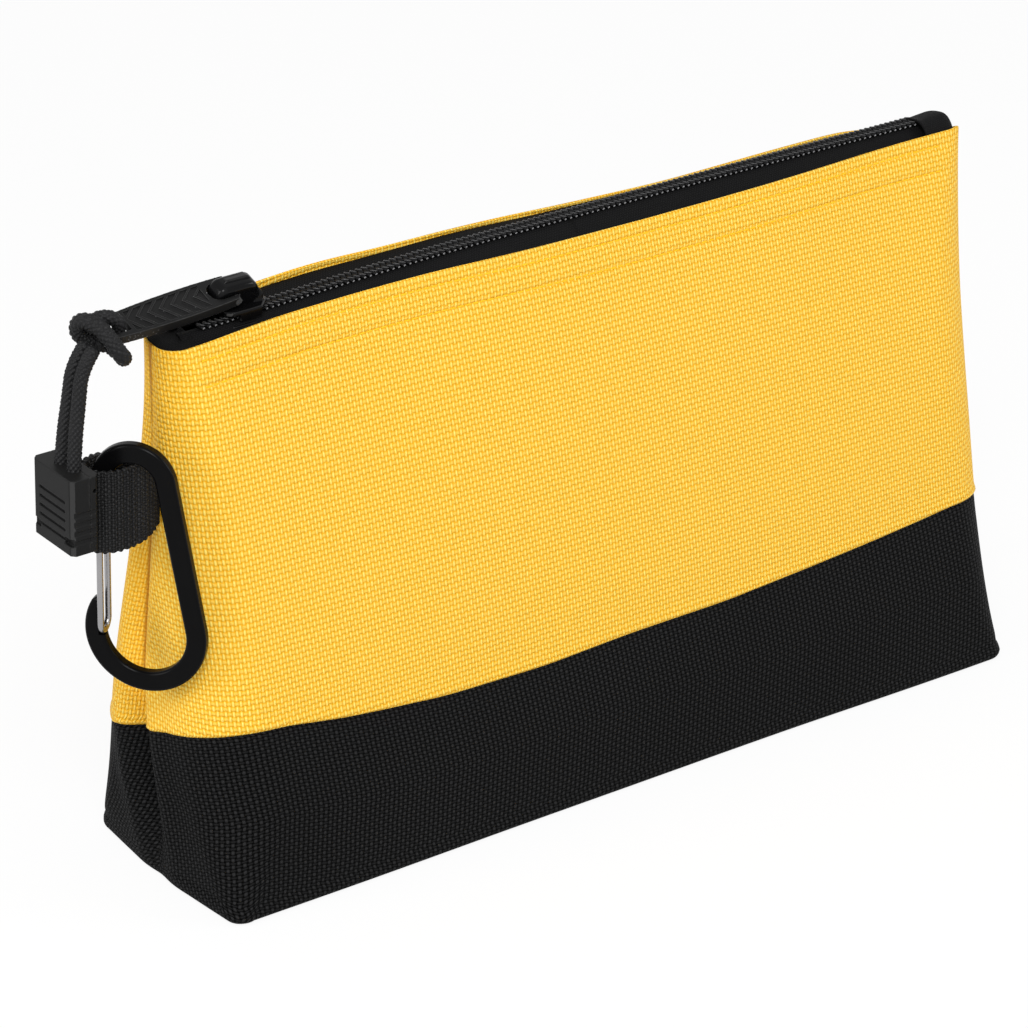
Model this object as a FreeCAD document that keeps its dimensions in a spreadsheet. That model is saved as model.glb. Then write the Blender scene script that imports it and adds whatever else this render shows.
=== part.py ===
"""Zippered tool bag: a stand-up pouch of woven fabric with a coil zip, a cord pull and a clip.

Frame: millimetres, +Z up. X runs along the zip, -Y is the front, and the origin is the middle of
the flat base. The bag leans back a little, so its mouth lies behind the middle of the base.
"""
import FreeCAD, Part
import math
import os
import re

import Sketcher

SIZES = {
    # Fabric body: its outline at four heights, from the base up to the mouth
    "wall": 1.5,
    "bag_height": 205.0,
    "base_length": 348.0,
    "base_depth": 90.0,
    "base_corner": 10.0,
    "belly_height_share": 0.39,
    "belly_length": 364.0,
    "belly_front": 33.0,
    "belly_back": 38.0,
    "belly_corner": 22.0,
    "shoulder_height_share": 0.73,
    "shoulder_length": 360.0,
    "shoulder_front": 18.5,
    "shoulder_back": 28.5,
    "shoulder_corner": 22.0,
    "mouth_length": 354.0,
    "mouth_front": 4.0,
    "mouth_back": 18.0,
    "mouth_corner": 8.0,
    "band_height": 62.0,
    # Inner trim: seam binding at the ends and the facing behind the top edge
    "trim_thickness": 0.9,
    "trim_gap": 0.1,
    "binding_width": 12.0,
    "binding_foot": 4.0,
    "binding_drop": 17.0,
    "facing_width": 14.0,
    # Zip
    "tape_thickness": 0.8,
    "tape_drop": 0.4,
    "seat_gap": 0.3,
    "tape_split": 3.2,
    "coil_width": 3.0,
    "coil_height": 1.8,
    "coil_split": 0.3,
    "coil_start": 3.6,
    "left_tab_length": 9.0,
    "right_tab_length": 15.0,
    "tab_thickness": 1.2,
    # Slider
    "slider_inset": 38.0,
    "slider_length": 19.0,
    "slider_width": 12.0,
    "slider_corner": 2.5,
    "plate_thickness": 2.0,
    "slider_clearance": 0.4,
    "flange_width": 1.6,
    "post_length": 3.6,
    "post_width": 2.4,
    "bridge_width": 4.4,
    "bridge_thickness": 2.5,
    "bridge_corner": 1.8,
    "bridge_gap": 1.2,
    "bridge_inset": 2.0,
    "bridge_slope": 6.0,
    # Pull grip and the pin in its fork
    "pin_offset": 5.0,
    "pin_rise": 5.5,
    "pin_radius": 1.3,
    "pin_clearance": 0.1,
    "pin_room": 0.4,
    "grip_length": 52.8,
    "grip_width": 13.2,
    "grip_belly": 25.0,
    "grip_thickness": 3.6,
    "grip_angle": 3.5,
    "grip_roll_angle": 20.0,
    "tail_width": 10.6,
    "tail_round": 3.6,
    "fork_width": 12.0,
    "fork_nose": 2.2,
    "fork_slot_width": 8.4,
    "fork_slot_depth": 9.0,
    "cord_hole_length": 7.0,
    "cord_hole_width": 7.2,
    "cord_bar": 4.0,
    "rim_width": 1.3,
    "field_depth": 0.7,
    "chevron_start": 13.0,
    "chevron_pitch": 4.6,
    "chevron_count": 7,
    "chevron_ridge": 1.3,
    "chevron_offset": 1.2,
    "chevron_back_rake": 6.5,
    "chevron_front_rake": 4.8,
    # Cord
    "cord_diameter": 5.0,
    "loop_cord": 4.6,
    "loop_radius": 5.9,
    "knot_radius": 4.4,
    "knot_drop": 5.5,
    "knot_out": 5.0,
    "knot_angle": 35.0,
    # Cord end
    "end_width": 25.0,
    "end_depth": 7.4,
    "end_height": 28.0,
    "end_corner": 1.6,
    "end_x": 219.5,
    "end_y": 1.0,
    "end_top": 170.0,
    "cap_depth": 3.6,
    "cap_margin": 1.0,
    "slot_count": 5,
    "slot_width": 16.0,
    "slot_height": 1.1,
    "slot_pitch": 3.4,
    "slot_depth": 0.9,
    "slot_drop": 9.2,
    "window_width": 4.4,
    "window_height": 2.8,
    "window_inset": 0.6,
    "window_rise": 4.8,
    "window_depth": 1.4,
    "groove_count": 4,
    "groove_height": 1.7,
    "groove_depth": 0.45,
    "groove_drop": 13.0,
    "pin_mark_radius": 0.8,
    "pin_mark_drop": 5.5,
    "pin_mark_depth": 2.0,
    # Webbing loop
    "web_width": 30.0,
    "web_thickness": 1.6,
    "web_foot": 137.6,
    "web_front": 7.8,
    "web_back": 6.6,
    "web_reach": 207.0,
    "web_root": 182.2,
    "web_tail": 6.0,
    # Carabiner, in its own upright plane
    "clip_x": 200.0,
    "clip_y": 0.3,
    "clip_angle": 52.0,
    "bar_width": 7.2,
    "bar_thickness": 4.6,
    "bar_round": 1.3,
    "bowl_radius": 18.2,
    "bowl_offset": 15.05,
    "bowl_height": 105.4,
    "arch_radius": 11.5,
    "arch_offset": 11.4,
    "arch_height": 161.5,
    "nose_angle": 153.0,
    "nose_width": 5.2,
    "gate_pivot_drop": 15.5,
    "gate_end_drop": 1.0,
    "wire_radius": 1.15,
    "gate_half_width": 3.75,
    "gate_pin_radius": 1.0,
    # Cuts run this far past what they cut
    "overrun": 5.0,
    # Faces nearer than this meet, where curved walls are cut
    "cut_tolerance": 0.001,
}

# The cord strands leave the knot and hang into the cord end: x, y, z of the pair's middle line
CORD_ROUTE = [
    (-200.0, 6.0, 209.0),
    (-206.5, 5.2, 203.0),
    (-209.5, 4.0, 191.5),
    (-213.0, 2.4, 179.5),
    (-215.4, 1.0, 167.0),
]
# How far apart the two strands run at each of those points
CORD_SPREAD = [5.2, 5.6, 6.2, 7.2, 8.0]
ARC_SHARE = 0.45

doc = FreeCAD.newDocument("tool_bag")
sheet = doc.addObject("Spreadsheet::Sheet", "sizes")
for row, (alias, value) in enumerate(SIZES.items(), 1):
    sheet.set(f"A{row}", alias)
    sheet.set(f"B{row}", str(value))
    sheet.setAlias(f"B{row}", alias)
doc.recompute()

subparts = []


def size(alias):
    """A driving dimension, read from the sheet."""
    return float(getattr(sheet, alias))


def on_sheet(match):
    """The sheet's name for an alias; any other word stays as it is."""
    return "sizes." + match.group() if match.group() in SIZES else match.group()


def bind(obj, **rules):
    """Ties properties of obj to sums of the sheet's aliases; __ in a keyword stands for a dot."""
    for prop, text in rules.items():
        obj.setExpression(prop.replace("__", "."), re.sub(r"[a-z_]{3,}", on_sheet, text))
    return obj


def place(obj, x="0", y="0", z="0"):
    return bind(obj, Placement__Base__x=x, Placement__Base__y=y, Placement__Base__z=z)


def keep(obj, label):
    """Marks obj as a sub-part; its label names its file."""
    obj.Label = label
    subparts.append(obj)
    return obj


def box(name, length, width, height, x, y, z):
    """A box whose middle in X and Y, and whose foot in Z, are given."""
    made = bind(doc.addObject("Part::Box", name), Length=length, Width=width, Height=height)
    return place(made, f"({x}) - ({length}) / 2", f"({y}) - ({width}) / 2", z)


def rod(name, radius, length, x, y, z):
    """A round rod along Y whose middle is given."""
    made = bind(doc.addObject("Part::Cylinder", name), Radius=radius, Height=length)
    made.Placement = FreeCAD.Placement(FreeCAD.Vector(), FreeCAD.Rotation(FreeCAD.Vector(1, 0, 0), -90))
    return place(made, x, f"({y}) - ({length}) / 2", z)


def shaped(label, shape):
    """A sub-part whose shape is worked out with Part's own functions from the sheet's sizes."""
    made = doc.addObject("Part::Feature", label)
    made.Shape = shape
    return keep(made, label)


def vector(x=0.0, y=0.0, z=0.0):
    return FreeCAD.Vector(x, y, z)


def body(label):
    return keep(doc.addObject("PartDesign::Body", label), label)


def sketch(owner, role, name, x="0", y="0", lift="0"):
    """A sketch on one of a body's own planes, moved within it and lifted off it."""
    made = owner.newObject("Sketcher::SketchObject", name)
    plane = next(f for f in owner.Origin.OriginFeatures if f.Role == role)
    made.AttachmentSupport = [(plane, "")]
    made.MapMode = "FlatFace"
    places = {"x": x, "y": y, "z": lift}
    return bind(made, **{"AttachmentOffset__Base__" + axis: text for axis, text in places.items()})


def polygon(target, points):
    """A closed outline whose corners are tied to the sheet; points are pairs of sums."""
    count = len(points)
    for i in range(count):
        start = vector(math.cos(2 * math.pi * i / count), math.sin(2 * math.pi * i / count))
        end = vector(math.cos(2 * math.pi * (i + 1) / count), math.sin(2 * math.pi * (i + 1) / count))
        target.addGeometry(Part.LineSegment(start, end), False)
    for i in range(count):
        target.addConstraint(Sketcher.Constraint("Coincident", i, 2, (i + 1) % count, 1))
    for i, (x, y) in enumerate(points):
        for kind, text in (("DistanceX", x), ("DistanceY", y)):
            index = target.addConstraint(Sketcher.Constraint(kind, -1, 1, i, 1, 1.0))
            bind(target, **{f"Constraints[{index}]": text})


def rectangle(target, width, height):
    """A rectangle about the sketch's own origin."""
    x, y = f"({width}) / 2", f"({height}) / 2"
    polygon(target, [(f"-{x}", f"-{y}"), (x, f"-{y}"), (x, y), (f"-{x}", y)])


def circle(target, radius):
    target.addGeometry(Part.Circle(vector(), vector(0, 0, 1), 1.0), False)
    target.addConstraint(Sketcher.Constraint("Coincident", 0, 3, -1, 1))
    index = target.addConstraint(Sketcher.Constraint("Radius", 0, 1.0))
    bind(target, **{f"Constraints[{index}]": radius})


def pad(owner, profile, name, length, midplane=False):
    made = owner.newObject("PartDesign::Pad", name)
    made.Profile = profile
    made.Midplane = midplane
    return bind(made, Length=length)


def pocket(owner, profile, name, depth, midplane=False, reverse=False):
    made = owner.newObject("PartDesign::Pocket", name)
    made.Profile = profile
    made.Midplane = midplane
    made.Reversed = reverse
    return bind(made, Length=depth)


# Places that several pieces share
ZIP_Y = "(mouth_back - mouth_front) / 2"
TAPE_TOP = "(bag_height - tape_drop)"
TAPE_FOOT = "(bag_height - tape_drop - tape_thickness)"
MOUTH_HALF = "((mouth_back + mouth_front) / 2 - wall)"
SLIDER_X = "(slider_inset - mouth_length / 2)"
TAB_LEFT = "(wall + seat_gap + left_tab_length - mouth_length / 2)"
TAB_RIGHT = "(mouth_length / 2 - wall - seat_gap - right_tab_length)"

zip_y = (size("mouth_back") - size("mouth_front")) / 2
overrun = size("overrun")


def bag_section(stage, height, inset):
    """The bag's outline at one of its four heights, a rounded rectangle drawn in by inset."""
    half = size(stage + "_length") / 2 - inset
    if stage == "base":
        front = back = size("base_depth") / 2
    else:
        front, back = size(stage + "_front"), size(stage + "_back")
    low, high = inset - front, back - inset
    corner = max(size(stage + "_corner") - inset, size("wall"))
    inner = corner * (1 - math.sqrt(0.5))
    corners = [(half, low, -1, 1), (half, high, -1, -1), (-half, high, 1, -1), (-half, low, 1, 1)]
    edges = []
    for i, (x, y, to_x, to_y) in enumerate(corners):
        along_x, along_y = vector(x + to_x * corner, y, height), vector(x, y + to_y * corner, height)
        middle = vector(x + to_x * inner, y + to_y * inner, height)
        start, end = (along_x, along_y) if i % 2 == 0 else (along_y, along_x)
        edges.append((start, middle, end))
    wire = []
    for i, (start, middle, end) in enumerate(edges):
        wire.append(Part.Arc(start, middle, end).toShape())
        wire.append(Part.LineSegment(end, edges[(i + 1) % len(edges)][0]).toShape())
    return Part.Wire(wire)


def bag_solid(inset, past=0.0):
    """The space inside the bag's outer skin, drawn in by inset on the sides and at the foot.

    A cutting tool runs on straight up, past the mouth.
    """
    top = size("bag_height")
    heights = [("base", inset), ("belly", top * size("belly_height_share"))]
    heights += [("shoulder", top * size("shoulder_height_share")), ("mouth", top)]
    sections = [bag_section(stage, height, inset) for stage, height in heights]
    space = Part.makeLoft(sections, True, False)
    return space.fuse(Part.Face(sections[-1]).extrude(vector(0, 0, past))) if past else space


def block(low, high):
    """A plain box between two corners, for cutting with."""
    return Part.makeBox(*[b - a for a, b in zip(low, high)], vector(*low))


def within(wall, tool):
    """The part of a curved wall inside the tool."""
    return wall.common([tool], size("cut_tolerance"))


def without(wall, tool):
    """The part of a curved wall outside the tool."""
    return wall.cut([tool], size("cut_tolerance"))


def front_half():
    """Everything in front of the side seams, which run from the base's middle to the mouth's."""
    reach, top = size("belly_length"), size("bag_height") + overrun
    slope = zip_y / size("bag_height")
    points = [(-reach, -overrun), (-overrun * slope, -overrun), (top * slope, top), (-reach, top)]
    corners = [vector(-reach, y, z) for y, z in points]
    return Part.Face(Part.makePolygon(corners + corners[:1])).extrude(vector(2 * reach))


def make_fabric_body():
    outer = bag_solid(0.0)
    skin = without(outer, bag_solid(size("wall"), overrun))
    reach, top, band = size("belly_length"), size("bag_height") + overrun, size("band_height")
    above = block((-reach, -reach, band), (reach, reach, top))
    upper = within(skin, above)
    front = front_half()
    shaped("front_panel", within(upper, front))
    shaped("back_panel", without(upper, front))
    shaped("base_wrap", without(skin, above))
    return outer


def make_inner_trim():
    """Binding over the raw side seams and the facing that the zip is sewn through."""
    start = size("wall") + size("trim_gap")
    outside, inside = bag_solid(start), bag_solid(start + size("trim_thickness"), overrun)
    reach, half = size("belly_length"), size("binding_width") / 2
    binding_foot, binding_top = size("binding_foot"), size("bag_height") - size("binding_drop")
    for label, side in (("left_seam_binding", -1), ("right_seam_binding", 1)):
        low, high = sorted((0.0, side * reach))
        room = block((low, -half, binding_foot), (high, half, binding_top))
        shaped(label, without(within(outside, room), inside))
    end = size("mouth_length") / 2 - size("right_tab_length") - overrun
    facing_top = size("bag_height") - size("tape_drop") - size("tab_thickness") - size("seat_gap")
    facing_foot = facing_top - size("facing_width")
    for label, side in (("front_facing", -1), ("back_facing", 1)):
        low, high = sorted((zip_y, side * reach))
        room = block((-end, low, facing_foot), (end, high, facing_top))
        shaped(label, without(within(outside, room), inside))


def make_zip():
    """Two tapes with a bead of coil on each, and a fabric tab over each end."""
    inside = bag_solid(size("wall") + size("seat_gap"))
    reach, top = size("belly_length"), size("bag_height") - size("tape_drop")
    inner_end = size("mouth_length") / 2 - size("wall") - size("seat_gap")
    for label, side, length in (
        ("left_zip_tab", -1, size("left_tab_length")),
        ("right_zip_tab", 1, size("right_tab_length")),
    ):
        low, high = sorted((side * reach, side * (inner_end - length)))
        foot = top - size("tab_thickness")
        shaped(label, within(inside, block((low, -reach, foot), (high, reach, top))))
    tape_length = f"({TAB_RIGHT}) - ({TAB_LEFT}) - 2 * seat_gap"
    tape_middle = f"(({TAB_RIGHT}) + ({TAB_LEFT})) / 2"
    tape_width = f"{MOUTH_HALF} - seat_gap - tape_split / 2"
    coil_length = f"({TAB_RIGHT}) - seat_gap - {SLIDER_X} + coil_start"
    coil_middle = f"({TAB_RIGHT}) - seat_gap - ({coil_length}) / 2"
    for side, sign in (("front", "-"), ("back", "+")):
        tape_y = f"{ZIP_Y} {sign} (tape_split / 2 + ({tape_width}) / 2)"
        tape, coil = side + "_zip_tape", side + "_coil"
        keep(box(tape, tape_length, tape_width, "tape_thickness", tape_middle, tape_y, TAPE_FOOT), tape)
        coil_y = f"{ZIP_Y} {sign} (coil_split / 2 + coil_width / 2)"
        keep(box(coil, coil_length, "coil_width", "coil_height", coil_middle, coil_y, TAPE_TOP), coil)


def make_slider():
    """Slider: two plates joined by a wedge post, side flanges and a bridge that the pull hangs on."""
    slider = body("zip_slider")
    place(slider, SLIDER_X, ZIP_Y, TAPE_FOOT)
    long, wide, clip = "slider_length / 2", "slider_width / 2", "slider_corner"
    plan = [
        (f"-{long}", f"{clip} - {wide}"),
        (f"{clip} - {long}", f"-{wide}"),
        (f"{long} - 2 * {clip}", f"-{wide}"),
        (long, f"2 * {clip} - {wide}"),
        (long, f"{wide} - 2 * {clip}"),
        (f"{long} - 2 * {clip}", wide),
        (f"{clip} - {long}", wide),
        (f"-{long}", f"{wide} - {clip}"),
    ]
    top_lift = "tape_thickness + coil_height + slider_clearance"
    bottom = sketch(slider, "XY_Plane", "lower_plan", lift="-slider_clearance - plate_thickness")
    polygon(bottom, plan)
    pad(slider, bottom, "lower_plate", "plate_thickness")
    post_x = "post_length - slider_length / 2"
    post = sketch(slider, "XY_Plane", "post_plan", x=post_x, lift="-slider_clearance")
    wedge = [("-post_length", "0"), ("0", "-post_width"), ("post_length", "0"), ("0", "post_width")]
    polygon(post, [(f"{x} / 2", f"{y} / 2") for x, y in wedge])
    pad(slider, post, "wedge_post", f"{top_lift} + slider_clearance")
    upper = sketch(slider, "XY_Plane", "upper_plan", lift=top_lift)
    polygon(upper, plan)
    pad(slider, upper, "upper_plate", "plate_thickness")
    for name, sign in (("front_flange", "-"), ("back_flange", "")):
        plan_y, foot = f"{sign}(slider_width - flange_width) / 2", "tape_thickness + slider_clearance"
        flange = sketch(slider, "XY_Plane", name + "_plan", y=plan_y, lift=foot)
        rectangle(flange, "slider_length - 4 * slider_corner", "flange_width")
        pad(slider, flange, name, "coil_height")
    rise = f"{top_lift} + plate_thickness + pin_rise"
    left, right = "pin_offset - slider_length / 2", "pin_offset + slider_length / 2 - bridge_inset"
    inner_left, inner_top = "-pin_radius - pin_room", "pin_radius + bridge_gap"
    top, root = f"{inner_top} + bridge_thickness", "-pin_rise - plate_thickness / 2"
    arch = sketch(slider, "XZ_Plane", "bridge_profile", x="-pin_offset", y=rise)
    polygon(arch, [
        (left, root),
        (right, root),
        (right, "bridge_thickness - pin_rise"),
        (f"{right} - bridge_slope", top),
        (f"{left} + bridge_corner", top),
        (left, f"{top} - bridge_corner"),
    ])
    pad(slider, arch, "bridge", "bridge_width", midplane=True)
    opening = sketch(slider, "XZ_Plane", "bridge_opening_profile", x="-pin_offset", y=rise)
    polygon(opening, [
        (inner_left, "-pin_rise"),
        (f"{right} - 2 * bridge_inset", "-pin_rise"),
        (f"{right} - bridge_slope - bridge_inset", inner_top),
        (inner_left, inner_top),
    ])
    pocket(slider, opening, "bridge_opening", "slider_width", midplane=True)


def grip_placement():
    """The grip's own frame at its pin: X back towards the slider's nose, Y along the pin."""
    tape_top = size("bag_height") - size("tape_drop")
    plate_top = tape_top + size("coil_height") + size("slider_clearance") + size("plate_thickness")
    pin_x = size("slider_inset") - size("mouth_length") / 2 - size("pin_offset")
    roll = FreeCAD.Rotation(vector(1, 0, 0), size("grip_roll_angle"))
    dip = FreeCAD.Rotation(vector(0, 1, 0), -size("grip_angle"))
    return FreeCAD.Placement(vector(pin_x, zip_y, plate_top + size("pin_rise")), dip.multiply(roll))


def prism(points, foot, height):
    """A closed outline of corners, raised from foot by height."""
    corners = [vector(x, y, foot) for x, y in points]
    return Part.Face(Part.makePolygon(corners + corners[:1])).extrude(vector(0, 0, height))


def grip_outline(inset, lift):
    """The paddle's plan drawn in by inset: two bowed edges, a round tail and a blunt fork end."""
    fork, belly, tail = (size(n) / 2 - inset for n in ("fork_width", "grip_width", "tail_width"))
    tail_x = size("tail_round") - size("grip_length")
    back = [vector(0, fork, lift), vector(-size("grip_belly"), belly, lift), vector(tail_x, tail, lift)]
    front = [vector(p.x, -p.y, lift) for p in back]
    nose, end = vector(size("fork_nose") - inset, 0, lift), vector(inset - size("grip_length"), 0, lift)
    arcs = [back, [back[2], end, front[2]], front[::-1], [front[0], nose, back[0]]]
    return Part.Face(Part.Wire([Part.Arc(*arc).toShape() for arc in arcs]))


def chevron_ridges(foot, height):
    """Bent ridges across the grip's field, their points towards the cord."""
    half, bend, ridge = size("grip_width") / 2, size("chevron_offset"), size("chevron_ridge")
    back, front = size("chevron_back_rake"), size("chevron_front_rake")
    ridges = []
    for i in range(int(size("chevron_count"))):
        x = -size("chevron_start") - i * size("chevron_pitch")
        corners = [(x, bend), (x + back, half), (x + back - ridge, half), (x - ridge, bend)]
        corners += [(x + front - ridge, -half), (x + front, -half)]
        ridges.append(prism(corners, foot, height))
    return ridges


def make_grip():
    """Moulded pull grip: a rimmed paddle with chevron ridges, a fork over the bridge and a cord hole."""
    thick, length, depth = size("grip_thickness"), size("grip_length"), size("field_depth")
    paddle = grip_outline(0.0, -thick / 2).extrude(vector(0, 0, thick))
    rim, hole_start = size("rim_width"), length - size("cord_bar")
    hole_end = hole_start - size("cord_hole_length")
    field_end = -size("fork_slot_depth") - rim
    field_room = block((rim - hole_end, -length, -length), (field_end, length, length))
    for foot in (-thick / 2 - overrun, thick / 2 - depth):
        field = grip_outline(rim, foot).extrude(vector(0, 0, depth + overrun)).common(field_room)
        paddle = paddle.cut(field.cut(chevron_ridges(foot, depth + overrun)))
    half, bend = size("fork_slot_width") / 2, size("fork_slot_width") / 2 - size("fork_slot_depth")
    slot_end = Part.Arc(vector(bend, half), vector(-size("fork_slot_depth")), vector(bend, -half)).toShape()
    corners = [(bend, -half), (overrun, -half), (overrun, half), (bend, half)]
    mouth = Part.makePolygon([vector(*corner) for corner in corners])
    slot = Part.Face(Part.Wire([slot_end] + mouth.Edges)).extrude(vector(0, 0, 2 * thick))
    slot.translate(vector(0, 0, -thick))
    hole_half = size("cord_hole_width") / 2
    cord_hole = block((-hole_start, -hole_half, -thick), (-hole_end, hole_half, thick))
    pin_length = size("fork_width")
    pin = Part.makeCylinder(size("pin_radius"), pin_length, vector(0, -pin_length / 2), vector(0, 1))
    shaped("pull_grip", paddle.cut(slot).cut(cord_hole).cut(pin)).Placement = grip_placement()
    shaped("slider_pin", pin).Placement = grip_placement()


def tube(points, diameter):
    """A round tube along straight runs joined by tangent arcs, as large as the runs allow."""
    corners = [vector(*p) for p in points]
    edges, radii, start = [], [], corners[0]
    for before, corner, after in zip(corners, corners[1:], corners[2:]):
        back, on = before - corner, after - corner
        shorter = min(back.Length, on.Length)
        turn = math.pi - back.getAngle(on)
        radii.append(ARC_SHARE * shorter / math.tan(turn / 2))
        back.normalize()
        on.normalize()
        enter, leave = corner + back * (ARC_SHARE * shorter), corner + on * (ARC_SHARE * shorter)
        inward = back + on
        inward.normalize()
        middle = corner + inward * (radii[-1] * (1 / math.cos(turn / 2) - 1))
        edges.append(Part.LineSegment(start, enter).toShape())
        edges.append(Part.Arc(enter, middle, leave).toShape())
        start = leave
    edges.append(Part.LineSegment(start, corners[-1]).toShape())
    path = Part.Wire(edges)
    ring = Part.Circle(corners[0], corners[1] - corners[0], diameter / 2).toShape()
    made = path.makePipeShell([Part.Wire([ring])], True, True)
    expected = path.Length * math.pi * diameter ** 2 / 4
    print("cord tube: length", round(path.Length, 1), "radii", [round(r, 1) for r in radii],
          "volume over section times length", round(made.Volume / expected, 4))
    return made


def make_cord():
    """A doubled cord: a loop through the grip's hole, the knot that gathers it, and two strands."""
    reach = size("grip_length") - size("cord_bar") / 2
    bar = grip_placement().multVec(vector(-reach))
    loop = Part.makeTorus(size("loop_radius"), size("loop_cord") / 2, bar, vector(0, 1, 0))
    tilt = math.radians(size("knot_angle"))
    along = vector(-math.sin(tilt), 0, -math.cos(tilt))
    gather = bar + vector(-size("knot_out"), 0, -size("knot_drop"))
    wrap = Part.makeTorus(size("knot_radius"), size("loop_cord") / 2, gather, along)
    shaped("cord_knot", loop.fuse(wrap).removeSplitter())
    for label, side in (("front_cord_strand", -1), ("back_cord_strand", 1)):
        route = [(x, y + side * spread / 2, z) for (x, y, z), spread in zip(CORD_ROUTE, CORD_SPREAD)]
        shaped(label, tube(route, size("cord_diameter")))


def down_the_end(owner, cut, count):
    """Repeats a cut down the cord end, a slot's pitch apart."""
    doc.recompute()
    rows = owner.newObject("PartDesign::LinearPattern", cut.Name + "_rows")
    rows.Originals = [cut]
    rows.Direction = (next(f for f in owner.Origin.OriginFeatures if f.Role == "Z_Axis"), [""])
    rows.Reversed = True
    bind(rows, Length=f"({count} - 1) * slot_pitch", Occurrences=count)
    owner.Tip = rows


def side_grooves(owner, depth):
    """Finger grooves across the cord end's two narrow sides."""
    for name, lift in (("front_groove", "end_width / 2"), ("back_groove", "-end_width / 2")):
        level = "end_height - groove_drop"
        profile = sketch(owner, "XZ_Plane", f"{owner.Name}_{name}_profile", y=level, lift=lift)
        rectangle(profile, f"2 * {depth}", "groove_height")
        cut = pocket(owner, profile, f"{owner.Name}_{name}", "2 * groove_depth", midplane=True)
        down_the_end(owner, cut, "groove_count")


def make_cord_end():
    """Cord end: a slotted, finger-grooved block and the cap that snaps into its back."""
    block_body = body("cord_end_body")
    place(block_body, "end_depth / 2 - end_x", "end_y", "end_top - end_height")
    wide, deep, clip = "end_width / 2", "end_depth / 2", "end_corner"
    plan = sketch(block_body, "XY_Plane", "block_plan")
    polygon(plan, [
        (f"{clip} - {deep}", f"-{wide}"), (deep, f"-{wide}"), (deep, wide), (f"{clip} - {deep}", wide),
        (f"-{deep}", f"{wide} - {clip}"), (f"-{deep}", f"{clip} - {wide}"),
    ])
    pad(block_body, plan, "block", "end_height")
    slot = sketch(block_body, "YZ_Plane", "slot_profile", y="end_height - slot_drop", lift=f"-{deep}")
    rectangle(slot, "slot_width", "slot_height")
    down_the_end(block_body, pocket(block_body, slot, "slot", "2 * slot_depth", midplane=True), "slot_count")
    for name, sign in (("front_window", "-"), ("back_window", "")):
        middle = f"{sign}({wide} - window_inset - window_width / 2)"
        window = sketch(block_body, "YZ_Plane", name + "_profile", x=middle, y="window_rise", lift=f"-{deep}")
        rectangle(window, "window_width", "window_height")
        pocket(block_body, window, name, "2 * window_depth", midplane=True)
    side_grooves(block_body, "end_depth")
    cap = body("cord_end_cap")
    place(cap, "end_depth + cap_depth / 2 - end_x", "end_y", "end_top - end_height")
    cap_plan = sketch(cap, "XY_Plane", "cap_plan")
    half, inner = "cap_depth / 2", f"{wide} - {clip}"
    polygon(cap_plan, [
        (f"-{half}", f"-{wide}"), (f"{half} - {clip}", f"-{wide}"), (half, f"-({inner})"),
        (half, inner), (f"{half} - {clip}", wide), (f"-{half}", wide),
    ])
    pad(cap, cap_plan, "plate", "end_height")
    side_grooves(cap, "cap_depth")
    mark = sketch(cap, "XZ_Plane", "pin_mark_profile", y="end_height - pin_mark_drop", lift=wide)
    circle(mark, "pin_mark_radius")
    pocket(cap, mark, "pin_mark", "2 * pin_mark_depth", midplane=True)


def make_webbing_loop(outer):
    """A doubled length of webbing whose ends are sewn into the left side seam."""
    foot, height, wall = size("web_foot"), size("web_width"), size("web_thickness")
    front, back = size("web_front"), size("web_back")
    middle, radius = (back - front) / 2, (back + front) / 2
    nose, root = radius - size("web_reach"), -radius - size("web_root")

    def ring(r):
        low, high = middle - r, middle + r
        left = Part.Arc(vector(nose, high, foot), vector(nose - r, middle, foot), vector(nose, low, foot))
        right = Part.Arc(vector(root, low, foot), vector(root + r, middle, foot), vector(root, high, foot))
        lower = Part.LineSegment(vector(nose, low, foot), vector(root, low, foot))
        upper = Part.LineSegment(vector(root, high, foot), vector(nose, high, foot))
        wire = Part.Wire([left.toShape(), lower.toShape(), right.toShape(), upper.toShape()])
        return Part.Face(wire).extrude(vector(0, 0, height))

    tail = block(
        (-size("web_root") - wall, middle - wall, foot),
        (-size("web_root") + size("web_tail"), middle + wall, foot + height),
    )
    loop = ring(radius).cut(ring(radius - wall)).fuse(tail).cut(outer)
    shaped("webbing_loop", max(loop.Solids, key=lambda s: s.Volume))


def clip_placement():
    """The carabiner's own plane: X from gate to spine, Y up, Z towards the front left."""
    turn = math.radians(size("clip_angle"))
    across, up = vector(math.cos(turn), -math.sin(turn)), vector(0, 0, 1)
    out = across.cross(up)
    spin = FreeCAD.Rotation(across, up, out, "XYZ")
    return FreeCAD.Placement(vector(-size("clip_x"), size("clip_y")), spin)


def on_circle(centre, radius, angle):
    return centre + vector(radius * math.cos(angle), radius * math.sin(angle))


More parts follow.
